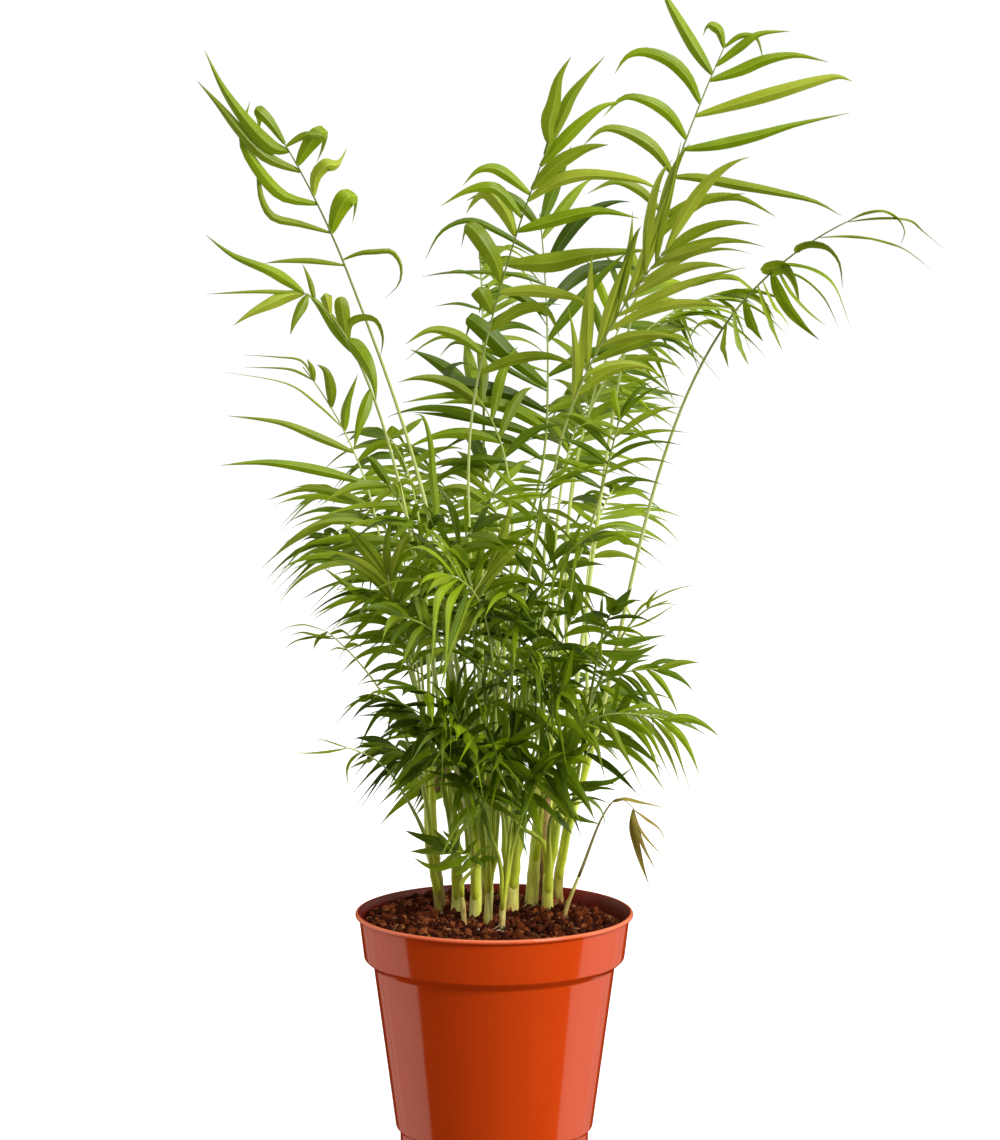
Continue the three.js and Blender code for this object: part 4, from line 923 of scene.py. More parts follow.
# leaflets with a shape of their own: place on the rib (below 0 is on the stalk), width, twist, then the
# points that the leaflet passes, each as millimetres to the right, up and away from its root
ownLeaflets = {
    "left_tall": [
        (0.93, 7.8, 0, (-7, 2, -2), (-16, 11, -4), (-27, 26, -3), (-35, 42, 0)),
        (0.77, 6.4, 10, (-14, 6, -3), (-25, 17, -5), (-34, 28, -4), (-43, 38, -2)),
        (0.52, 6.6, -10, (-13, 3, -3), (-22, 12, -6), (-30, 25, -6), (-30, 35, -4), (-28, 43, -2)),
        (0.3, 4, 0, (-13, 4, -3), (-24, 7, -6), (-29, 16, -8), (-31, 30, -6), (-38, 46, -2)),
        (0.06, 2.8, 0, (-14, 2, -2), (-26, 2, -3), (-34, 1, -2)),
        (0.99, 6, 0, (-6, 9, -2), (-11, 14, -3), (-12, 15, 0), (-11, 9, 4), (-12, 3, 6)),
        (0.97, 3.8, 20, (6, 4, -1), (11, 5, -2), (16, 4, 0), (14, -1, 3)),
        (0.82, 7.8, 0, (4, 7, -2), (9, 13, -4), (13, 14, 0), (11, 7, 3), (8, 1, 4)),
        (0.58, 7.4, 0, (1, 8, -2), (6, 13, -4), (10, 13, -1), (12, 15, 2), (14, 20, 3)),
        (0.3, 10, 0, (3, 9, -3), (7, 15, -5), (11, 16, -1), (11, 12, 3), (9, 4, 4)),
        (0.1, 3.2, 30, (7, 3, -2), (14, 4, -4), (21, 4, -5), (25, -2, -5), (24, -10, -4), (18, -16, -2)),
    ],
    "left_bright": [
        (1, 5.4, 0, (-7, 5, 0), (-14, 9, 1), (-29, 15, 3), (-40, 23, 6)),
        (0.97, 2, 0, (-18, 1, -3), (-40, 0, -4)),
        (0.98, 7.2, 0, (-7, -1, -2), (-14, -4, -4), (-22, -8, -5), (-29, -13, -4)),
        (0.93, 5, 0, (-2, -4, -2), (-5, -10, -4), (-7, -16, -4)),
        (0.8, 2.6, 0, (-2, 8, 0), (-5, 15, 1)),
        (0.5, 6.4, 0, (-1, 5, -2), (-2, 9, -2), (-2, 9, 1), (-1, 4, 4), (-2, -1, 6)),
        (0.15, 6.8, 0, (-1, 8, -2), (-2, 15, -3), (-2, 17, -1), (-1, 12, 2)),
        (-0.02, 6.4, 0, (-7, 10, -3), (-14, 20, -4), (-20, 26, -4)),
        (0.08, 4.4, 0, (0, 7, -2), (5, 10, -4), (11, 9, -5), (14, 2, -5), (13, -6, -4)),
        (0.12, 7.6, 0, (3, -2, -3), (8, -9, -6), (11, -17, -7), (12, -25, -6)),
        (-0.12, 5.6, 0, (-2, -7, -3), (-5, -16, -5), (-7, -25, -4)),
        (-0.5, 3.8, 0, (9, 13, 2), (8, 32, 4), (7, 46, 4), (4, 57, 2), (0, 58, 0)),
    ],
    "left_wide": [
        (0.9, 1.3, 0, (-5, 9, -2), (-16, 11, -4), (-30, 12, -4)),
        (0.91, 1.5, 0, (-10, 5, -3), (-29, 6, -5)),
        (0.6, 1.3, 0, (-10, 10, -3), (-24, 20, -6), (-50, 25, -8)),
        (0.45, 4.2, 0, (-15, 7, -4), (-32, 14, -8), (-54, 17, -10)),
        (0.73, 5.2, 0, (0, 8, -2), (-2, 16, -4), (-6, 19, -3)),
        (0.9, 3.2, 0, (-1, 6, -1), (-3, 10, -1)),
        (0.58, 5.2, 0, (1, 11, -2), (6, 25, -3)),
        (0.27, 5.2, 0, (-20, 6, -5), (-42, 10, -10), (-62, 9, -12)),
        (0.15, 4, 0, (10, 8, -3), (16, 10, -6), (22, 2, -8)),
        (0.4, 4, 0, (8, 7, -3), (15, 7, -6), (19, -2, -8)),
        (0.12, 4.4, 0, (-14, 6, 4), (-30, 8, 7), (-46, 3, 9)),
        (0.02, 4, 0, (-12, 3, -4), (-26, 2, -8), (-40, -6, -10)),
    ],
    "middle_tall": [
        (0.27, 9, 0, (-3, 6, -3), (-6, 11, -4), (-6, 11, 0), (-5, 6, 4), (-6, 0, 5)),
        (0.4, 9, 0, (-3, 10, -4), (-10, 21, -6), (-15, 25, -3), (-16, 22, 0), (-17, 15, 1)),
        (0.6, 9.4, 0, (-4, 10, -4), (-10, 18, -6), (-15, 19, -3), (-19, 14, 1), (-21, 9, 2)),
        (0.68, 5.8, 0, (-8, 10, -3), (-15, 13, -5), (-24, 11, -5), (-34, 5, -4)),
        (0.78, 5.8, 0, (-8, 7, -3), (-15, 11, -5), (-22, 10, -5), (-28, 4, -4)),
        (1, 8.2, 0, (0, 8, -1), (2, 16, -1), (4, 27, -1), (9, 36, 0)),
        (0.95, 6.6, 0, (7, 15, -2), (11, 24, -2), (17, 32, -1), (25, 41, 0)),
        (0.9, 6.6, 0, (8, 9, -3), (17, 18, -4), (26, 25, -3), (34, 27, -1)),
        (0.8, 7.2, 0, (10, 10, -4), (22, 17, -6), (32, 19, -6)),
        (0.75, 7.4, 0, (12, 8, -5), (26, 11, -8), (46, 9, -9), (56, 4, -9)),
        (0.62, 7, 0, (16, 5, -5), (34, 9, -9), (51, 6, -10)),
        (0.48, 9.6, 0, (18, 1, -6), (36, 5, -11), (62, 7, -13)),
        (0.36, 6, 0, (15, 1, -5), (30, -1, -9), (41, -6, -10)),
        (0.2, 6.2, 0, (13, 9, -5), (24, 9, -9), (30, -2, -10)),
        (0.1, 5.6, 0, (-10, 8, -4), (-22, 11, -7), (-33, 5, -8)),
        (0.02, 6, 0, (14, 6, -5), (30, 8, -9), (46, 2, -10)),
    ],
    "middle_back": [
        (0.16, 9, 0, (-15, 13, -6), (-26, 24, -8), (-35, 31, -7), (-35, 27, -3), (-37, 18, -1)),
        (0.04, 7.6, 0, (-14, 8, -8), (-29, 12, -12), (-42, 15, -14), (-43, 21, -12), (-36, 23, -10),
         (-30, 19, -8)),
        (-0.03, 6.8, 0, (-15, 10, -8), (-32, 14, -12), (-47, 13, -14)),
        (0, 6, 0, (-21, 9, -6), (-43, 12, -10), (-63, 9, -12)),
        (-0.06, 5.6, 0, (-17, 7, -6), (-39, 11, -8), (-58, 13, -8)),
        (0.23, 2.4, 0, (-19, 7, -4), (-41, 16, -8), (-52, 14, -9), (-62, 6, -9)),
        (0.14, 3.6, 0, (-19, 11, -5), (-32, 20, -8), (-41, 22, -9), (-47, 16, -9)),
        (0.5, 5.4, 0, (-12, 9, -4), (-22, 12, -6), (-31, 6, -6)),
        (0.65, 2.2, 0, (-15, 5, -3), (-40, 6, -6), (-54, 4, -6)),
        (0.78, 3.4, 0, (-20, 12, -4), (-33, 17, -6), (-45, 12, -7), (-52, 0, -7)),
        (0.92, 5, 0, (-10, 12, -3), (-22, 17, -4), (-33, 13, -4)),
        (-0.12, 5.4, 0, (-14, 9, -6), (-30, 12, -9), (-46, 4, -10)),
        (-0.16, 5.4, 0, (-16, 4, -6), (-34, 4, -9), (-50, -4, -10)),
    ],
    "right_arching": [
        (1, 5, 0, (7, 4, -1), (15, 5, -2), (21, 2, -2), (24, -4, -2), (22, -10, -1)),
        (1, 3.2, 0, (13, 2, -1), (26, 1, -1), (32, -4, 0), (40, -11, 1)),
        (0.82, 4.4, 0, (13, 1, -3), (26, -1, -5), (36, -5, -5), (46, -13, -4)),
        (0.66, 6.4, 0, (1, 3, -2), (6, 5, -4), (13, 3, -5), (18, -4, -6), (19, -15, -5)),
        (0.54, 6.6, 0, (5, 1, -3), (16, -2, -6), (23, -9, -7), (29, -26, -6)),
        (0.46, 7.6, 0, (-1, 2, -2), (6, 3, -4), (10, -3, -6), (12, -13, -6)),
        (0.52, 4.8, 0, (6, -10, -4), (13, -18, -6), (20, -24, -6)),
        (0.48, 7.4, 0, (5, -11, 4), (12, -21, 6), (20, -29, 6)),
        (0.36, 6.6, 0, (5, -12, -4), (7, -19, -6), (10, -27, -6)),
        (0.4, 3.8, 0, (5, -10, -4), (8, -14, -6), (11, -19, -6)),
        (0.24, 5.8, 0, (3, -9, 3), (5, -13, 5), (8, -18, 5)),
        (0.14, 5, 0, (2, -11, -3), (4, -17, -4), (6, -22, -4)),
        (0.05, 4.4, 0, (-2, -8, -3), (-1, -12, -5), (1, -18, -5)),
        (0.32, 8, 0, (-8, 6, 3), (-18, 5, 6), (-29, 1, 8), (-37, 0, 8)),
        (0.02, 7, 0, (-5, 4, -3), (-11, 2, -5), (-15, -5, -5)),
        (0.5, 2.6, 0, (11, -3, 4), (21, -12, 6), (27, -25, 6)),
    ],
    "right_tall": [
        (0.89, 4.8, 0, (10, 8, -2), (19, 14, -3), (32, 15, -2)),
        (0.98, 3, 0, (7, 5, -1), (14, 4, -2), (17, -6, -2)),
        (0.82, 6, 0, (12, 4, -2), (24, 9, -4), (37, 11, -5), (51, 8, -5)),
        (0.65, 6.8, 0, (17, 5, -3), (34, 10, -6), (51, 15, -7), (61, 17, -7), (67, 15, -7)),
        (0.49, 6, 0, (14, 2, -4), (31, 6, -7), (48, 11, -8), (71, 16, -9)),
        (0.36, 5.6, 0, (10, 0, -4), (27, -3, -8), (44, -6, -10), (61, -10, -11), (72, -16, -11)),
        (0.85, 7.2, 0, (-8, 12, -2), (-18, 29, -2), (-22, 37, -1)),
        (0.98, 5.6, 0, (-2, 7, -2), (-6, 10, -1), (-8, 9, 1), (-9, 5, 2)),
        (0.71, 6.4, 0, (-5, 10, -3), (-13, 18, -6), (-24, 22, -8), (-32, 20, -8), (-37, 13, -7)),
        (0.54, 5.8, 0, (-7, 10, -4), (-16, 16, -7), (-27, 18, -9), (-36, 10, -9)),
        (0.37, 6.8, 0, (-8, 11, -4), (-19, 18, -7), (-30, 20, -9), (-39, 13, -9)),
        (0.2, 4.8, 0, (-9, 9, -4), (-20, 13, -7), (-32, 8, -8)),
        (0.16, 5.2, 0, (16, 8, -5), (34, 10, -8), (50, 2, -9)),
        (0.05, 5.2, 0, (12, 12, -4), (26, 20, -7), (40, 22, -8)),
    ],
    "right_dry": [
        (0.02, 4.8, 0, (5, 2, -1), (13, 0, -1), (24, -3, -1)),
        (1, 3.4, 0, (5, -3, -1), (11, -8, -1), (14, -15, 0)),
        (0.98, 3.2, 0, (3, -8, -1), (8, -15, -1), (14, -22, 0)),
        (0.97, 3.2, 0, (1, -6, -2), (5, -17, -2), (10, -27, -2)),
        (0.98, 4.4, 0, (0, -8, 1), (2, -17, 1), (4, -25, 1), (7, -34, 1)),
    ],
    "left_hanging": [
        (0.97, 3.6, 0, (-7, -1, 0), (-16, -2, 0), (-23, -2, 0)),
        (0.92, 2.6, 0, (-5, 2, 0), (-12, 4, 0), (-18, 3, 0)),
        (0.78, 3.2, 0, (-4, -3, 1), (-6, -8, 2), (-5, -15, 2)),
        (0.55, 4.6, 0, (-5, -1, 1), (-11, -5, 2)),
        (0.7, 4, 0, (5, 3, -1), (11, 1, -2)),
        (0.4, 4, 0, (5, 4, -1), (11, 4, -2)),
    ],
    "left_low": [
        (1, 2.6, 0, (-9, 3, 0), (-16, 2, 0), (-21, -1, 0)),
        (0.93, 4, 0, (-7, 1, 0), (-13, 2, 0), (-19, 0, 0)),
        (0.9, 3.6, 0, (-9, 1, 1), (-17, -1, 1), (-22, -5, 1)),
        (1, 3, 0, (-4, -3, 1), (-6, -8, 2)),
        (0.97, 3.4, 0, (5, 2, -1), (10, -2, -2)),
        (0.78, 3.4, 0, (4, 2, -1), (8, 0, -2)),
        (0.75, 2.8, 0, (-4, 1, 1), (-8, -1, 1)),
        (0.5, 3.2, 0, (6, 7, -1), (14, 10, -3), (22, 7, -4)),
        (0.3, 3.2, 0, (7, 6, -1), (14, 8, -3), (21, 4, -4)),
    ],
    "left_tuft": [
        (0.6, 3.8, 0, (-8, -1, 0), (-15, -1, 0), (-24, -2, 0)),
        (0.85, 3.2, 0, (-6, 1, 0), (-13, 0, 0), (-19, -1, 0)),
        (0.3, 6, 0, (-6, 0, 0), (-12, -2, 0), (-16, -6, 0)),
        (0.98, 2.6, 0, (-5, 4, 0), (-11, 5, 0), (-15, 2, 0)),
    ],
    "left_foot": [
        (0.8, 6.8, 0, (-6, 4, -1), (-15, 7, -1), (-22, 9, 0)),
        (0.8, 6.4, 0, (-8, 2, -1), (-15, 1, -1), (-20, 0, 0)),
        (0.4, 6.8, 0, (-9, -3, -2), (-16, -4, -2), (-23, -1, -1)),
        (0.7, 5, 0, (-5, -2, -2), (-10, -6, -3)),
        (0.6, 5, 0, (3, 4, -2), (7, 7, -3)),
        (0.2, 4.6, 0, (3, 4, -2), (8, 6, -3)),
        (0.5, 5.6, 0, (-4, 6, -3), (-10, 11, -4)),
        (0.9, 5.4, 0, (1, 6, -3), (4, 12, -4)),
        (0.3, 5.4, 0, (-3, -4, -3), (-8, -8, -4)),
        (0.1, 5, 0, (5, 2, -2), (11, 2, -3)),
        (0.3, 3.6, 0, (3, -1, -2), (6, -4, -3)),
        (0.97, 3.2, 0, (-3, 5, 0), (-8, 10, 0)),
    ],
    "right_thin": [
        (0.1, 2.4, 0, (5, 9, -1), (11, 13, -2), (20, 17, -2), (30, 19, -2)),
        (0.1, 2.8, 0, (7, 3, -1), (13, 6, -1), (21, 11, -1)),
        (0, 3.8, 0, (4, -1, 0), (10, -2, 0), (18, -1, 0)),
        (-0.08, 4.6, 0, (6, 0, 0), (11, 1, 0), (15, 2, 0)),
        (-0.15, 3.6, 0, (3, 4, 0), (8, 7, 0), (16, 8, 0)),
        (0.5, 2, 0, (4, 3, 0), (10, 4, 0), (15, 3, 0)),
        (0.6, 1.8, 0, (1, 4, 0), (5, 9, 0)),
        (0.3, 2.2, 0, (-3, 5, 0), (-5, 10, 0)),
    ],
    "right_foot": [
        (0.3, 6.4, 0, (5, -2, -1), (11, -5, -2), (19, -8, -2)),
        (1, 3, 0, (6, -3, 0), (11, -8, 0), (13, -17, 0)),
        (1, 5, 0, (6, 4, 0), (15, 5, 0), (25, 11, 0)),
        (0.9, 3.6, 0, (4, 4, 0), (12, 5, 0)),
        (0.1, 5, 0, (4, -4, -1), (8, -10, -1)),
    ],
    "back_high": [
        (0.3, 3.4, 0, (-10, 3, 2), (-21, 1, 4)),
        (0.6, 3, 0, (-9, 4, 2), (-18, 2, 4)),
    ],
    "right_tuft": [
        (0.2, 5.6, 0, (10, 1, -1), (18, 2, -2), (27, 3, -2)),
        (0, 6.8, 0, (9, -1, -1), (17, 0, -2), (25, 3, -2)),
        (-0.1, 5.6, 0, (8, 0, -1), (15, 4, -2), (23, 5, -2)),
        (0.9, 6.2, 0, (4, 5, 0), (9, 11, 0)),
    ],
}
# the sides, -1 or 1, where a frond keeps its usual leaflets beside its own
keptSides = {
    "left_tuft": (1,), "middle_back": (1,), "back_high": (1,), "right_foot": (-1,), "right_tuft": (-1, 1),
}

# the seats of a stalk and the turns of a leaflet that the solids try, in their order
closeEnough = 0.12
swings = [0, 35, -35, 70, -70, 110, -110, 150, -150]
sways = [0, 4, -4, 8, -8, 13, -13, 18, -18]
stands = [0.38, 0.48, 0.61, 0.76, 0.96, 1.16]
shares = [1, 0.82, 0.64]
turns = [(0, 0), (9, 0), (-9, 0), (0, 8), (0, -8), (18, 4), (-18, 4), (26, -10), (-26, -10)]


def leafFinish(name, light, dark):
    rough = leafSet["roughness"] + (0.2 if name == "dry" else 0)
    material, tree, shader = newFinish("leaflet_" + name, light, rough, leafSet["specular"])
    patches = placeGroup(tree, mottle, Scale=55, Contrast=2.2, Stretch=(1, 1, 0.6))
    lines = placeGroup(tree, veins, Lines=leafSet["veinLines"], Rib_width=0.07)
    colour = mixColours(tree, patches.outputs["Mask"], dark, light)
    pale = tuple(min(1, c * 1.35 + 0.03) for c in light[:3]) + (1,)
    ribShare = calc(tree, "MULTIPLY", lines.outputs["Rib"], 0.55)
    colour = mixColours(tree, ribShare, colour, pale)
    tree.links.new(colour, shader.inputs["Base Color"])
    tree.links.new(spreadValue(tree, patches.outputs["Grain"], rough - 0.07, rough + 0.1),
                   shader.inputs["Roughness"])
    addBump(tree, shader, lines.outputs["Height"], leafSet["veinBump"], 0.0003)
    thin = tree.nodes.new("ShaderNodeBsdfTranslucent")
    tree.links.new(colour, thin.inputs["Color"])
    both = tree.nodes.new("ShaderNodeMixShader")
    both.inputs[0].default_value = leafSet["through"]
    tree.links.new(shader.outputs[0], both.inputs[1])
    tree.links.new(thin.outputs[0], both.inputs[2])
    tree.links.new(both.outputs[0], tree.nodes["Material Output"].inputs["Surface"])
    return material


leafFinishes = {name: leafFinish(name, *pair) for name, pair in leafColours.items()}


def stalkFinish(name):
    base = stalkSet["base"][name]
    material, tree, shader = newFinish("stalk_" + name, base, 0.4, 0.45)
    streaks = placeGroup(tree, mottle, Scale=120, Contrast=2, Stretch=(1, 1, 0.3))
    colour = mixColours(tree, streaks.outputs["Mask"], base, stalkSet["patch"][name])
    if name != "dry":
        # the foot is a sheath in the colour of the stems, and the highest ribs are olive
        split = tree.nodes.new("ShaderNodeSeparateXYZ")
        tree.links.new(placeOn(tree, "UV"), split.inputs[0])
        share = calc(tree, "MULTIPLY", calc(tree, "SUBTRACT", split.outputs["Y"], 1), 0.3, clamp=True)
        colour = mixColours(tree, share, stemColours["green"], colour)
        low = placeGroup(tree, stain, From=stalkSet["oliveFrom"], To=stalkSet["oliveTo"], Ragged=0.02)
        colour = mixColours(tree, low.outputs["Mask"], stalkSet["olive"], colour)
    tree.links.new(colour, shader.inputs["Base Color"])
    return material


stalkFinishes = {name: stalkFinish(name) for name in stalkSet["base"]}
stalkOfTone = {"young": "pale", "bright": "pale", "mid": "green", "deep": "deep", "dry": "dry"}
stemByName = {s["name"]: s for s in stems}


def fillFrond(r):
    # a frond of the front or the back in the same terms as the others
    start = stemPoint(stemByName[r["stem"]], r["at"])
    out = Vector((*around(1, math.radians(r["turn"])), 0))
    neck = start + out * (r["reach"] * 0.5) + upward * r["rise"]
    tip = neck + out * (r["rib"] * 0.78) + upward * (r["rib"] * 0.5)
    return dict(name=r["name"], stem=r["stem"], at=r["at"], neck=neck, tip=tip, leaf=r["leaf"],
                face=(r["turn"] + 180, 70), pairs=math.floor(r["rib"] / 9.5 + 0.5), **fillShared)


def frondCurve(f, sway, swing, stand):
    # the start, neck and headings that a frond's stalk and rib are drawn from
    s = stemByName[f["stem"]]
    along = stemAlong(s, f["at"])
    start = stemPoint(s, f["at"])
    neck, tip = Vector(f["neck"]), Vector(f["tip"])
    away = Vector((0, 0, 0))
    if f["at"] == 1:
        start += along * (gap + stand)
    else:
        bearing = math.atan2(neck.y - start.y, neck.x - start.x) + math.radians(swing)
        away = square(Vector((*around(1, bearing), 0)), along)
        reach = stemRadius(s, f["at"]) + stalkSet["foot"] * f.get("thin", 1) / 2 + stand
        start += away * (reach + gap)
    run, rib = neck - start, tip - neck
    heading = ((tip - start).normalized() + rib.normalized() + upward * (2 * f["arch"])).normalized()
    return {"start": start, "neck": neck, "rib": rib, "heading": heading, "sway": sway, "away": away,
            "first": along * (run.length * f.get("hold", 0.9)), "last": heading * (run.length * 0.9)}


def stalkPoint(curve, t):
    a = 2 * t ** 3 - 3 * t ** 2 + 1
    b = t ** 3 - 2 * t ** 2 + t
    c = 3 * t ** 2 - 2 * t ** 3
    d = t ** 3 - t ** 2
    p = curve["start"] * a + curve["first"] * b + curve["neck"] * c + curve["last"] * d
    return p + Vector((0, curve["sway"] * 4 * t * (1 - t), 0))


def ribPoint(curve, t):
    bend = curve["heading"] * curve["rib"].length * (t - t * t)
    return curve["neck"] + bend + curve["rib"] * (t * t)


def solidLine(curve):
    # the corner points of the frond's solid
    line = [stalkPoint(curve, i / stalkSet["steps"]) for i in range(stalkSet["steps"] + 1)]
    return line + [ribPoint(curve, i / stalkSet["ribSteps"]) for i in range(1, stalkSet["ribSteps"] + 1)]


def lookOf(f):
    # the way that the upper side of the frond faces
    turn, height = (math.radians(a) for a in f["face"])
    return Vector((*around(math.cos(height), turn), math.sin(height)))


def seatOf(f, surface):
    # the frond's curve as the solid has it: the first seat whose edge lies on the solid
    ridge = lookOf(f) * (-1 if f["vee"] < 0 else 1)
    best = None
    for swing in [0] if f["at"] == 1 else swings:
        for sway in sways:
            for stand in stands:
                curve = frondCurve(f, sway, swing, stand)
                line = solidLine(curve)
                off = 0
                for i in (1, 2, 3, 4, 6, 8):
                    along = (line[i + 1] - line[i - 1]).normalized()
                    share = i / stalkSet["steps"]
                    if share <= 1:
                        radius = blend(stalkSet["foot"], stalkSet["neck"], share)
                    else:
                        share = (i - stalkSet["steps"]) / stalkSet["ribSteps"]
                        radius = blend(stalkSet["neck"], stalkSet["tip"], share)
                    edge = line[i] + square(ridge, along) * (radius * f.get("thin", 1))
                    off += surface.find_nearest(edge * mm)[3] / mm
                if best is None or off < best[0]:
                    best = (off, curve)
                if off < closeEnough:
                    return best
    return best


def leafletPlan(f, seed):
    # every leaflet of a frond with its own small chances, drawn in order
    roll = dice(seed)
    plan = []
    for i in range(f["pairs"] + 1):
        for side in (-1, 1):
            own = {"shift": (0.05, 0.27), **f, **(f.get("left" if side < 0 else "right") or {})}
            chance = [next(roll) * 2 - 1 for _ in range(5)]
            last = i == f["pairs"]
            right = 0 if side < 0 else 1
            s = (0.985, 0.945)[right] if last else (i + own["shift"][right]) / f["pairs"]
            bulge = 0.5 + 0.5 * math.sin(math.pi * (0.1 + 0.75 * s))
            plainEnd = (own["leaf"] * 0.82, own["slant"][1] * 0.7)
            endLength, endSlant = f["end"][right] if "end" in f else plainEnd
            plan.append({
                "s": s, "side": side, "last": last,
                "length": (endLength if last else own["leaf"] * bulge) * (1 + 0.08 * chance[0]),
                "width": own["width"] * (1.15 if last else 0.75 + 0.25 * bulge),
                "slant": endSlant if last else blend(*own["slant"], s) + 5 * chance[1],
                "lift": own["vee"] + 9 * chance[2],
                "droop": own["droop"] * (1 + 0.45 * chance[3]) * (0.6 if last else 1),
                "twist": 24 * chance[4],
            })
    return plan


def leafletFrame(f, line, leaf):
    # where a leaflet leaves the rib, its heading and its upper side
    whole = min(max(leaf["s"], 0), 0.9999) * stalkSet["ribSteps"]
    i = stalkSet["steps"] + math.floor(whole)
    root = line[i].lerp(line[i + 1], whole - math.floor(whole))
    along = (line[i + 1] - line[i]).normalized()
    up = square(lookOf(f), along)
    out = along.cross(up) * leaf["side"]
    slant, lift = math.radians(leaf["slant"]), math.radians(leaf["lift"])
    across = out * math.cos(lift) + up * math.sin(lift)
    return root, along * math.cos(slant) + across * math.sin(slant), up


def grownLeaflets(f, line, plan, tips):
    # the leaflets that the solid has, each with the turn and length that it got there
    kept = []
    for leaf in plan:
        for share in shares:
            for lift, slant in turns:
                tried = {**leaf, "lift": leaf["lift"] + lift, "slant": leaf["slant"] + slant,
                         "length": leaf["length"] * share}
                root, heading, up = leafletFrame(f, line, tried)
                length = tried["length"]
                tip = root + heading * length - upward * (tried["droop"] * length)
                if tips.find(tip * mm)[2] < closeEnough * mm:
                    kept.append(tried)
                    break
            else:
                continue
            break
    return kept


def filledBetween(kept, count, roll):
    # more leaflets between neighbours on the same side of a rib
    more = []
    for side in (-1, 1):
        row = [leaf for leaf in kept if leaf["side"] == side]
        for first, second in zip(row, row[1:]):
            if second["s"] - first["s"] > 0.4:
                continue
            for k in range(count):
                share = (k + 0.8 + 0.4 * next(roll)) / (count + 1)
                leaf = {key: blend(first[key], second[key], share)
                        for key in ("s", "length", "width", "slant", "lift", "droop", "twist")}
                leaf["length"] *= 0.78 + 0.3 * next(roll)
                leaf["lift"] += 44 * (next(roll) - 0.5)
                leaf["slant"] += 16 * (next(roll) - 0.5)
                leaf["droop"] += 0.4 * (next(roll) - 0.4)
                leaf["twist"] = 90 * (next(roll) - 0.5)
                more.append({**leaf, "side": side, "last": False})
    return more


# where on the stem the smaller fronds start, and the least and the spread of their turn, size and leaflets
besideSet = {"lowest": 0.5, "highest": 0.9, "turn": (16, 26), "size": (0.84, 0.2), "leaf": (0.88, 0.26),
             "thin": 0.8}


def besides(f, count, roll):
    # smaller fronds that leave the same stem lower down, turned a little round it
    s = stemByName[f["stem"]]

    def chance(key):
        least, more = besideSet[key]
        return least + more * next(roll)

    for k in range(count):
        at = min(max(f["at"] * (0.86 - 0.1 * k), besideSet["lowest"]), besideSet["highest"])
        at -= 0.04 * next(roll)
        low = stemPoint(s, at)
        turn = math.radians(chance("turn") * (1 if (k + len(f["name"])) % 2 else -1))
        size = chance("size")
        spin = Matrix.Rotation(turn, 3, "Z")
        start = stemPoint(s, f["at"])
        neck = start + spin @ ((Vector(f["neck"]) - start) * size)
        rib = spin @ (Vector(f["tip"]) - Vector(f["neck"])) * (0.8 + 0.2 * next(roll))
        neck.z = blend(low.z, neck.z, 0.9 - 0.14 * next(roll))
        leaf = f["leaf"] * chance("leaf")
        yield {**f, "at": at, "neck": neck, "tip": neck + rib, "leaf": leaf, "left": {}, "right": {},
               "end": ((f["leaf"] * 0.6, 16), (f["leaf"] * 0.5, -14)),
               "thin": besideSet["thin"], "droop": f["droop"] + 0.3 * next(roll)}


def through(places, t):
    # a point of the smooth line through all the places, t from 0 to 1
    whole = min(t, 0.9999) * (len(places) - 1)
    i, t = math.floor(whole), whole - math.floor(whole)
    a, b, c, d = (places[min(max(i + k, 0), len(places) - 1)] for k in (-1, 0, 1, 2))
    second, third = a * 2 - b * 5 + c * 4 - d, b * 3 - a - c * 3 + d
    return (b * 2 + (c - a) * t + second * t * t + third * t ** 3) / 2


def ownLine(path, leaf):
    # the line of a leaflet that has a shape of its own, from the middle of its rib or stalk
    root = ribPoint(path, leaf[0]) if leaf[0] >= 0 else stalkPoint(path, 1 + leaf[0])
    places = [root] + [root + Vector((x, away, z)) for x, z, away in leaf[3:]]
    return [through(places, i / leafSet["steps"]) for i in range(leafSet["steps"] + 1)]


def grownLine(root, start, heading, leaf, roll, loose):
    # the line of a leaflet of the row: out from the rib, then over and down
    length, droop = leaf["length"], leaf["droop"]
    kink = leafSet["kink"] if droop > leafSet["kinkFrom"] else 1
    bend = root + heading * (length * 0.5)
    end = root + heading * length - upward * (droop * length)
    hang = leafSet["hang"] * (0.2 + next(roll)) * length * loose
    places = []
    for i in range(leafSet["steps"] + 1):
        t = i / leafSet["steps"]
        weight = (1 - t) ** 2 + 2 * kink * t * (1 - t) + t * t
        p = (root * (1 - t) ** 2 + bend * (2 * kink * t * (1 - t)) + end * (t * t)) / weight
        places.append(p + (start - root) * (1 - t) - upward * (hang * (t ** 2.6 - 0.5 * t)))
    return places


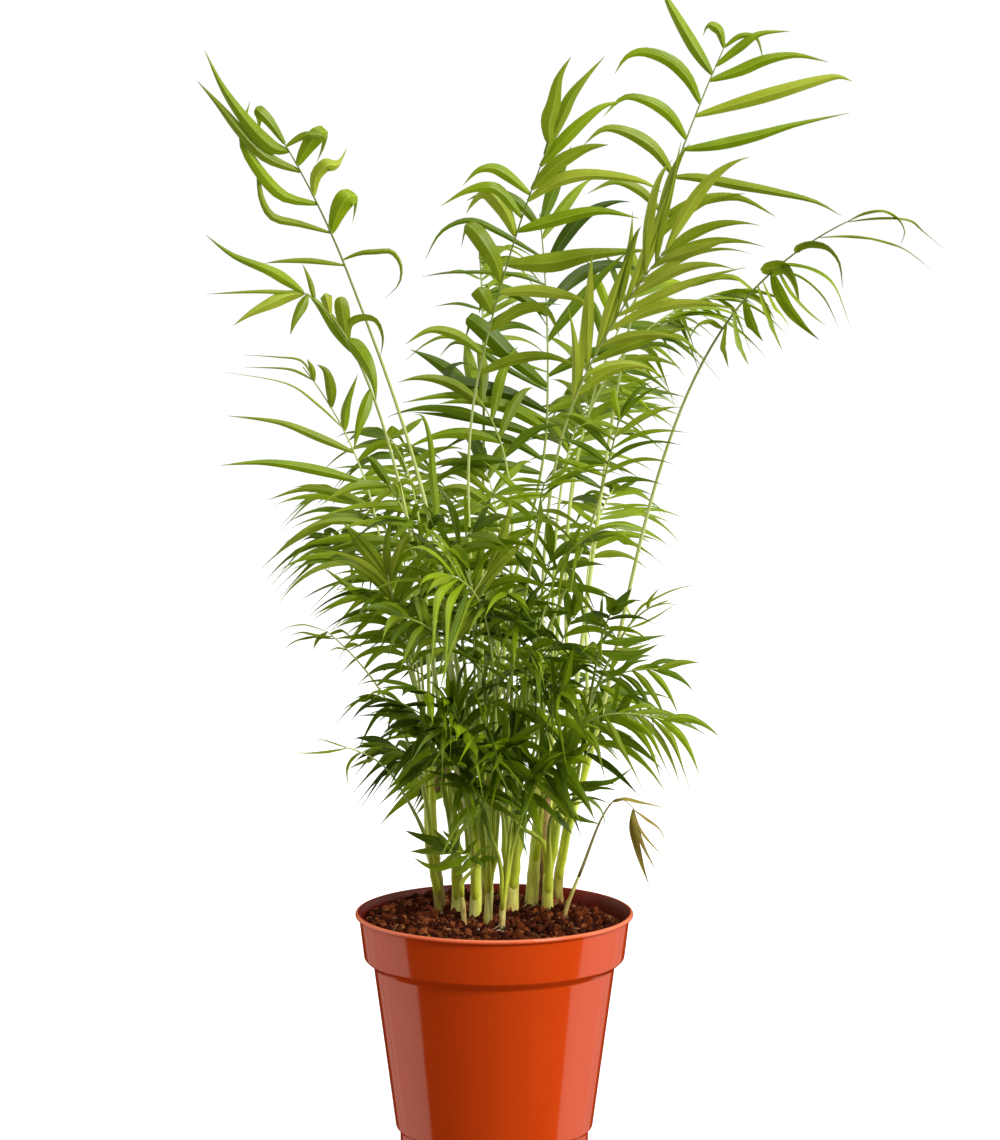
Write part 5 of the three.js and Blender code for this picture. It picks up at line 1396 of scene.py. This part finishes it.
def leafletMesh(places, up, width, twist, bow, roll):
    # a narrow blade in two halves that meet in a fold, with a long thin tip
    steps, columns = leafSet["steps"], leafSet["columns"]
    foot, broadest = leafSet["foot"], leafSet["broadest"]
    length = sum((b - a).length for a, b in zip(places, places[1:]))
    waves = 1.2 + 2 * next(roll)
    phase = 6.28 * next(roll)
    fold = math.radians(leafSet["fold"] * (0.6 + 0.9 * next(roll)))
    sideBend = bow * (next(roll) - 0.5) * length
    points = []
    spots = []
    level = None
    for i, p in enumerate(places):
        t = i / steps
        along = (places[min(i + 1, steps)] - places[max(i - 1, 0)]).normalized()
        level = square(level, along) if level else along.cross(up).normalized()
        turn = math.radians(twist) * min(1, t * 2.5)
        flat = level * math.cos(turn) + level.cross(along) * math.sin(turn)
        keel = flat.cross(along)
        p = p + flat * (sideBend * math.sin(math.pi * t))
        u = max(t - broadest, 0) / (1 - broadest)
        shape = foot + (1 - foot) * math.sin(math.pi / 2 * min(t / broadest, 1))
        shape *= (1 - u ** 1.5) ** 1.25
        half = max(width / 2 * shape, 0.09)
        for side in (-1, 1):
            for c in range(columns):
                share = c / (columns - 1)
                share = 1 - share if side < 0 else share
                angle = fold + math.radians(leafSet["curl"]) * share
                ripple = leafSet["wave"] * half * share * math.sin(waves * 6.28 * t + phase + side)
                points.append(p + flat * (side * half * share * math.cos(angle))
                              - keel * (half * share * math.sin(angle)) + keel * ripple)
                spots.append((0.5 + side * share / 2, t))
    return points, sheetFaces(steps + 1, 2 * columns, seam=columns - 1), spots


def stalkMesh(f, curve):
    # the stalk and rib as one smooth tapering tube that grows out of its stem
    s = stemByName[f["stem"]]
    slim = stalkSet["slim"] * f.get("thin", 1)
    neckRadius = stemRadius(s, f["at"])
    if f["at"] == 1:
        line = [stemPoint(s, 1) - stemAlong(s, 1) * 4]
        radii = [neckRadius * 0.93]
    else:
        low = max(f["at"] - stalkSet["sheath"] / (s["head"][2] - soilSet["level"]), 0.02)
        line = [stemPoint(s, low) + curve["away"] * (stemRadius(s, low) * 0.08)]
        radii = [stemRadius(s, low) * 0.8]
        middle = stemPoint(s, (low + f["at"]) / 2)
        line.append(middle + curve["away"] * (neckRadius * 0.62))
        radii.append(neckRadius * 0.8)
    run = (curve["neck"] - curve["start"]).length
    for i in range(stalkSet["smoothSteps"] + 1):
        t = i / stalkSet["smoothSteps"]
        plain = blend(stalkSet["foot"], stalkSet["thinNeck"], t) * slim
        wide = neckRadius * (0.92 if f["at"] == 1 else 0.7)
        line.append(stalkPoint(curve, t))
        radii.append(plain + max(wide - plain, 0) * math.exp(-t * run / 13))
    for i in range(1, stalkSet["smoothRib"] + 1):
        t = i / stalkSet["smoothRib"]
        line.append(ribPoint(curve, t))
        radii.append(blend(stalkSet["thinNeck"], stalkSet["end"], t) * slim)
    return tube(line, lambda i, a: radii[i], stalkSet["sides"])


def pick(shares, value):
    for name, share in shares.items():
        value -= share
        if value < 0:
            return name
    return name


def makeFrond(f, index):
    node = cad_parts["frond_" + f["name"]]
    mesh = node.data
    corners = [tuple(v.co) for v in mesh.vertices]
    surface = BVHTree.FromPolygons(corners, [tuple(p.vertices) for p in mesh.polygons])
    tips = KDTree(len(corners))
    for i, corner in enumerate(corners):
        tips.insert(corner, i)
    tips.balance()
    off, curve = seatOf(f, surface)
    line = solidLine(curve)
    plan = leafletPlan(f, 100 + index * 37)
    kept = grownLeaflets(f, line, plan, tips)
    tone, fill, beside, slim = frondLooks[f["name"]]
    roll = dice(7000 + index * 13)
    leaves = newParts()
    rib = newParts()
    shown = {**f, **turned.get(f["name"], {})}
    own = ownLeaflets.get(f["name"], [])
    sides = keptSides.get(f["name"], () if own else (-1, 1))
    grown = [(shown, curve, [leaf for leaf in kept if leaf["side"] in sides])]
    for k, small in enumerate(besides(shown, beside, roll)):
        smallCurve = frondCurve(small, 0, 0, 0.4)
        grown.append((small, smallCurve, leafletPlan(small, 3000 + index * 41 + k)))
    loose = 1 if slim < 0.88 else 0.3
    reach = shown.get("reach", (1, 1))
    for one, path, row in grown:
        line = solidLine(path)
        for leaf in row + filledBetween(row, fill, roll):
            leaf = {**leaf, "lift": leaf["lift"] + 34 * loose * (next(roll) - 0.5),
                    "slant": leaf["slant"] + 18 * loose * (next(roll) - 0.5),
                    "length": leaf["length"] * reach[leaf["side"] > 0],
                    "width": leaf["width"] * slim}
            root, heading, up = leafletFrame(one, line, leaf)
            start = ribPoint(path, min(leaf["s"], 1))
            places = grownLine(root, start, heading, leaf, roll, loose)
            finish = leafFinishes[pick(tones[tone], next(roll))]
            blade = leafletMesh(places, up, leaf["width"], leaf["twist"], leafSet["bend"], roll)
            addPart(leaves, *blade, finish)
        addPart(rib, *stalkMesh(one, path), stalkFinishes[stalkOfTone[tone]])
    for leaf in own:
        finish = leafFinishes[pick(tones[tone], next(roll))]
        blade = leafletMesh(ownLine(curve, leaf), lookOf(shown), leaf[1], leaf[2], 0, roll)
        addPart(leaves, *blade, finish)
    makePiece("leaflets_" + f["name"], leaves, ["frond_" + f["name"]])
    makePiece("stalk_" + f["name"], rib, ["frond_" + f["name"]])
    return off, len(plan), len(kept)


everyFrond = fronds + [fillFrond(r) for r in fillFronds]
totals = [makeFrond(f, index) for index, f in enumerate(everyFrond)]
print("fronds made:", len(totals), "with", sum(t[2] for t in totals), "of", sum(t[1] for t in totals),
      "leaflets, seats off by at most", round(max(t[0] for t in totals), 2))


# studio: a pale floor, tall strips of light at both sides, a panel overhead and a key from the front right

studioSet = {
    "floorSize": 300000, "floorColour": (0.5, 0.5, 0.49, 1), "floorGlow": 0.86,
    "ambient": 0.3, "backdrop": 1.2, "aim": (0, 0, 230),
    "strips": {"away": 1550, "z": 500, "tall": 3200, "left": 1.48, "right": 1.62, "tint": (1, 0.97, 0.86),
               "from": (83, 93, 103, 113, 123, 138), "to": (93, 103, 113, 123, 138, 153),
               "glow": (1.0, 0.92, 0.76, 0.6, 0.44, 0.28)},
    "overhead": {"place": (150, -150, 2100), "side": 1500, "glow": 3.6},
    "key": {"place": (1380, -1250, 1150), "side": 850, "glow": 20},
    "camera": {"place": (2.46, -1900, 508.86), "tiltDown": 7.654, "lens": 161.53},
}


def makeFloor():
    # the floor glows a little where the camera sees it, so that it stays plain and pale
    half = studioSet["floorSize"] / 2 * mm
    mesh = bpy.data.meshes.new("floor")
    corners = [(-half, -half, 0), (half, -half, 0), (half, half, 0), (-half, half, 0)]
    mesh.from_pydata(corners, [], [(0, 1, 2, 3)])
    floor = addThing("floor", mesh)
    material, tree, shader = newFinish("pale_floor", studioSet["floorColour"], 0.9, 0.0)
    shader.inputs["Emission Color"].default_value = (1, 1, 1, 1)
    seen = tree.nodes.new("ShaderNodeLightPath").outputs["Is Camera Ray"]
    tree.links.new(calc(tree, "MULTIPLY", seen, studioSet["floorGlow"]), shader.inputs["Emission Strength"])
    mesh.materials.append(material)
    for kind in ("diffuse", "glossy", "transmission", "shadow"):
        setattr(floor, "visible_" + kind, False)
    floor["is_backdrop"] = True


def makePanel(name, place, target, wide, tall, glow, tint=(1, 1, 1)):
    light = bpy.data.lights.new(name, "AREA")
    light.color = tint
    light.shape = "RECTANGLE"
    light.size = wide * mm
    light.size_y = tall * mm
    light.energy = glow * math.pi * light.size * light.size_y
    panel = addThing(name, light)
    panel.location = Vector(place) * mm
    way = Vector(target) - Vector(place)
    panel.rotation_euler = way.to_track_quat("-Z", "Y").to_euler()


def makeStudio():
    makeFloor()
    s = studioSet["strips"]
    for name, side in (("left", -1), ("right", 1)):
        for first, last, glow in zip(s["from"], s["to"], s["glow"]):
            turn = math.radians((first + last) / 2)
            place = (side * s["away"] * math.sin(turn), -s["away"] * math.cos(turn), s["z"])
            wide = 2 * s["away"] * math.tan(math.radians(last - first) / 2)
            makePanel(f"{name}_strip_{first}", place, (0, 0, s["z"]), wide, s["tall"], glow * s[name],
                      s["tint"])
    for name in ("overhead", "key"):
        p = studioSet[name]
        makePanel(name + "_panel", p["place"], studioSet["aim"], p["side"], p["side"], p["glow"])
    world = bpy.data.worlds.new("studio")
    bpy.context.scene.world = world
    world.use_nodes = True
    tree = world.node_tree
    background = tree.nodes["Background"]
    path = tree.nodes.new("ShaderNodeLightPath")
    extra = studioSet["backdrop"] - studioSet["ambient"]
    level = calc(tree, "MULTIPLY", path.outputs["Is Camera Ray"], extra)
    tree.links.new(calc(tree, "ADD", level, studioSet["ambient"]), background.inputs["Strength"])
    background.inputs["Color"].default_value = (1, 1, 1, 1)
    world.cycles_visibility.glossy = False
    bpy.context.scene.view_settings.view_transform = "Standard"


def makeCamera():
    c = studioSet["camera"]
    lens = bpy.data.cameras.new("camera")
    lens.sensor_fit = "HORIZONTAL"
    lens.sensor_width = 36
    lens.lens = c["lens"]
    lens.clip_end = 500
    camera = addThing("camera", lens)
    camera.location = Vector(c["place"]) * mm
    camera.rotation_euler = (math.radians(90 - c["tiltDown"]), 0, 0)
    bpy.context.scene.camera = camera


makeStudio()
makeCamera()
print("studio made")

boxes = {"cad": cadBox, "visual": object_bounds()}
{name: [[float(v) for v in corner] for corner in box] for name, box in boxes.items()}
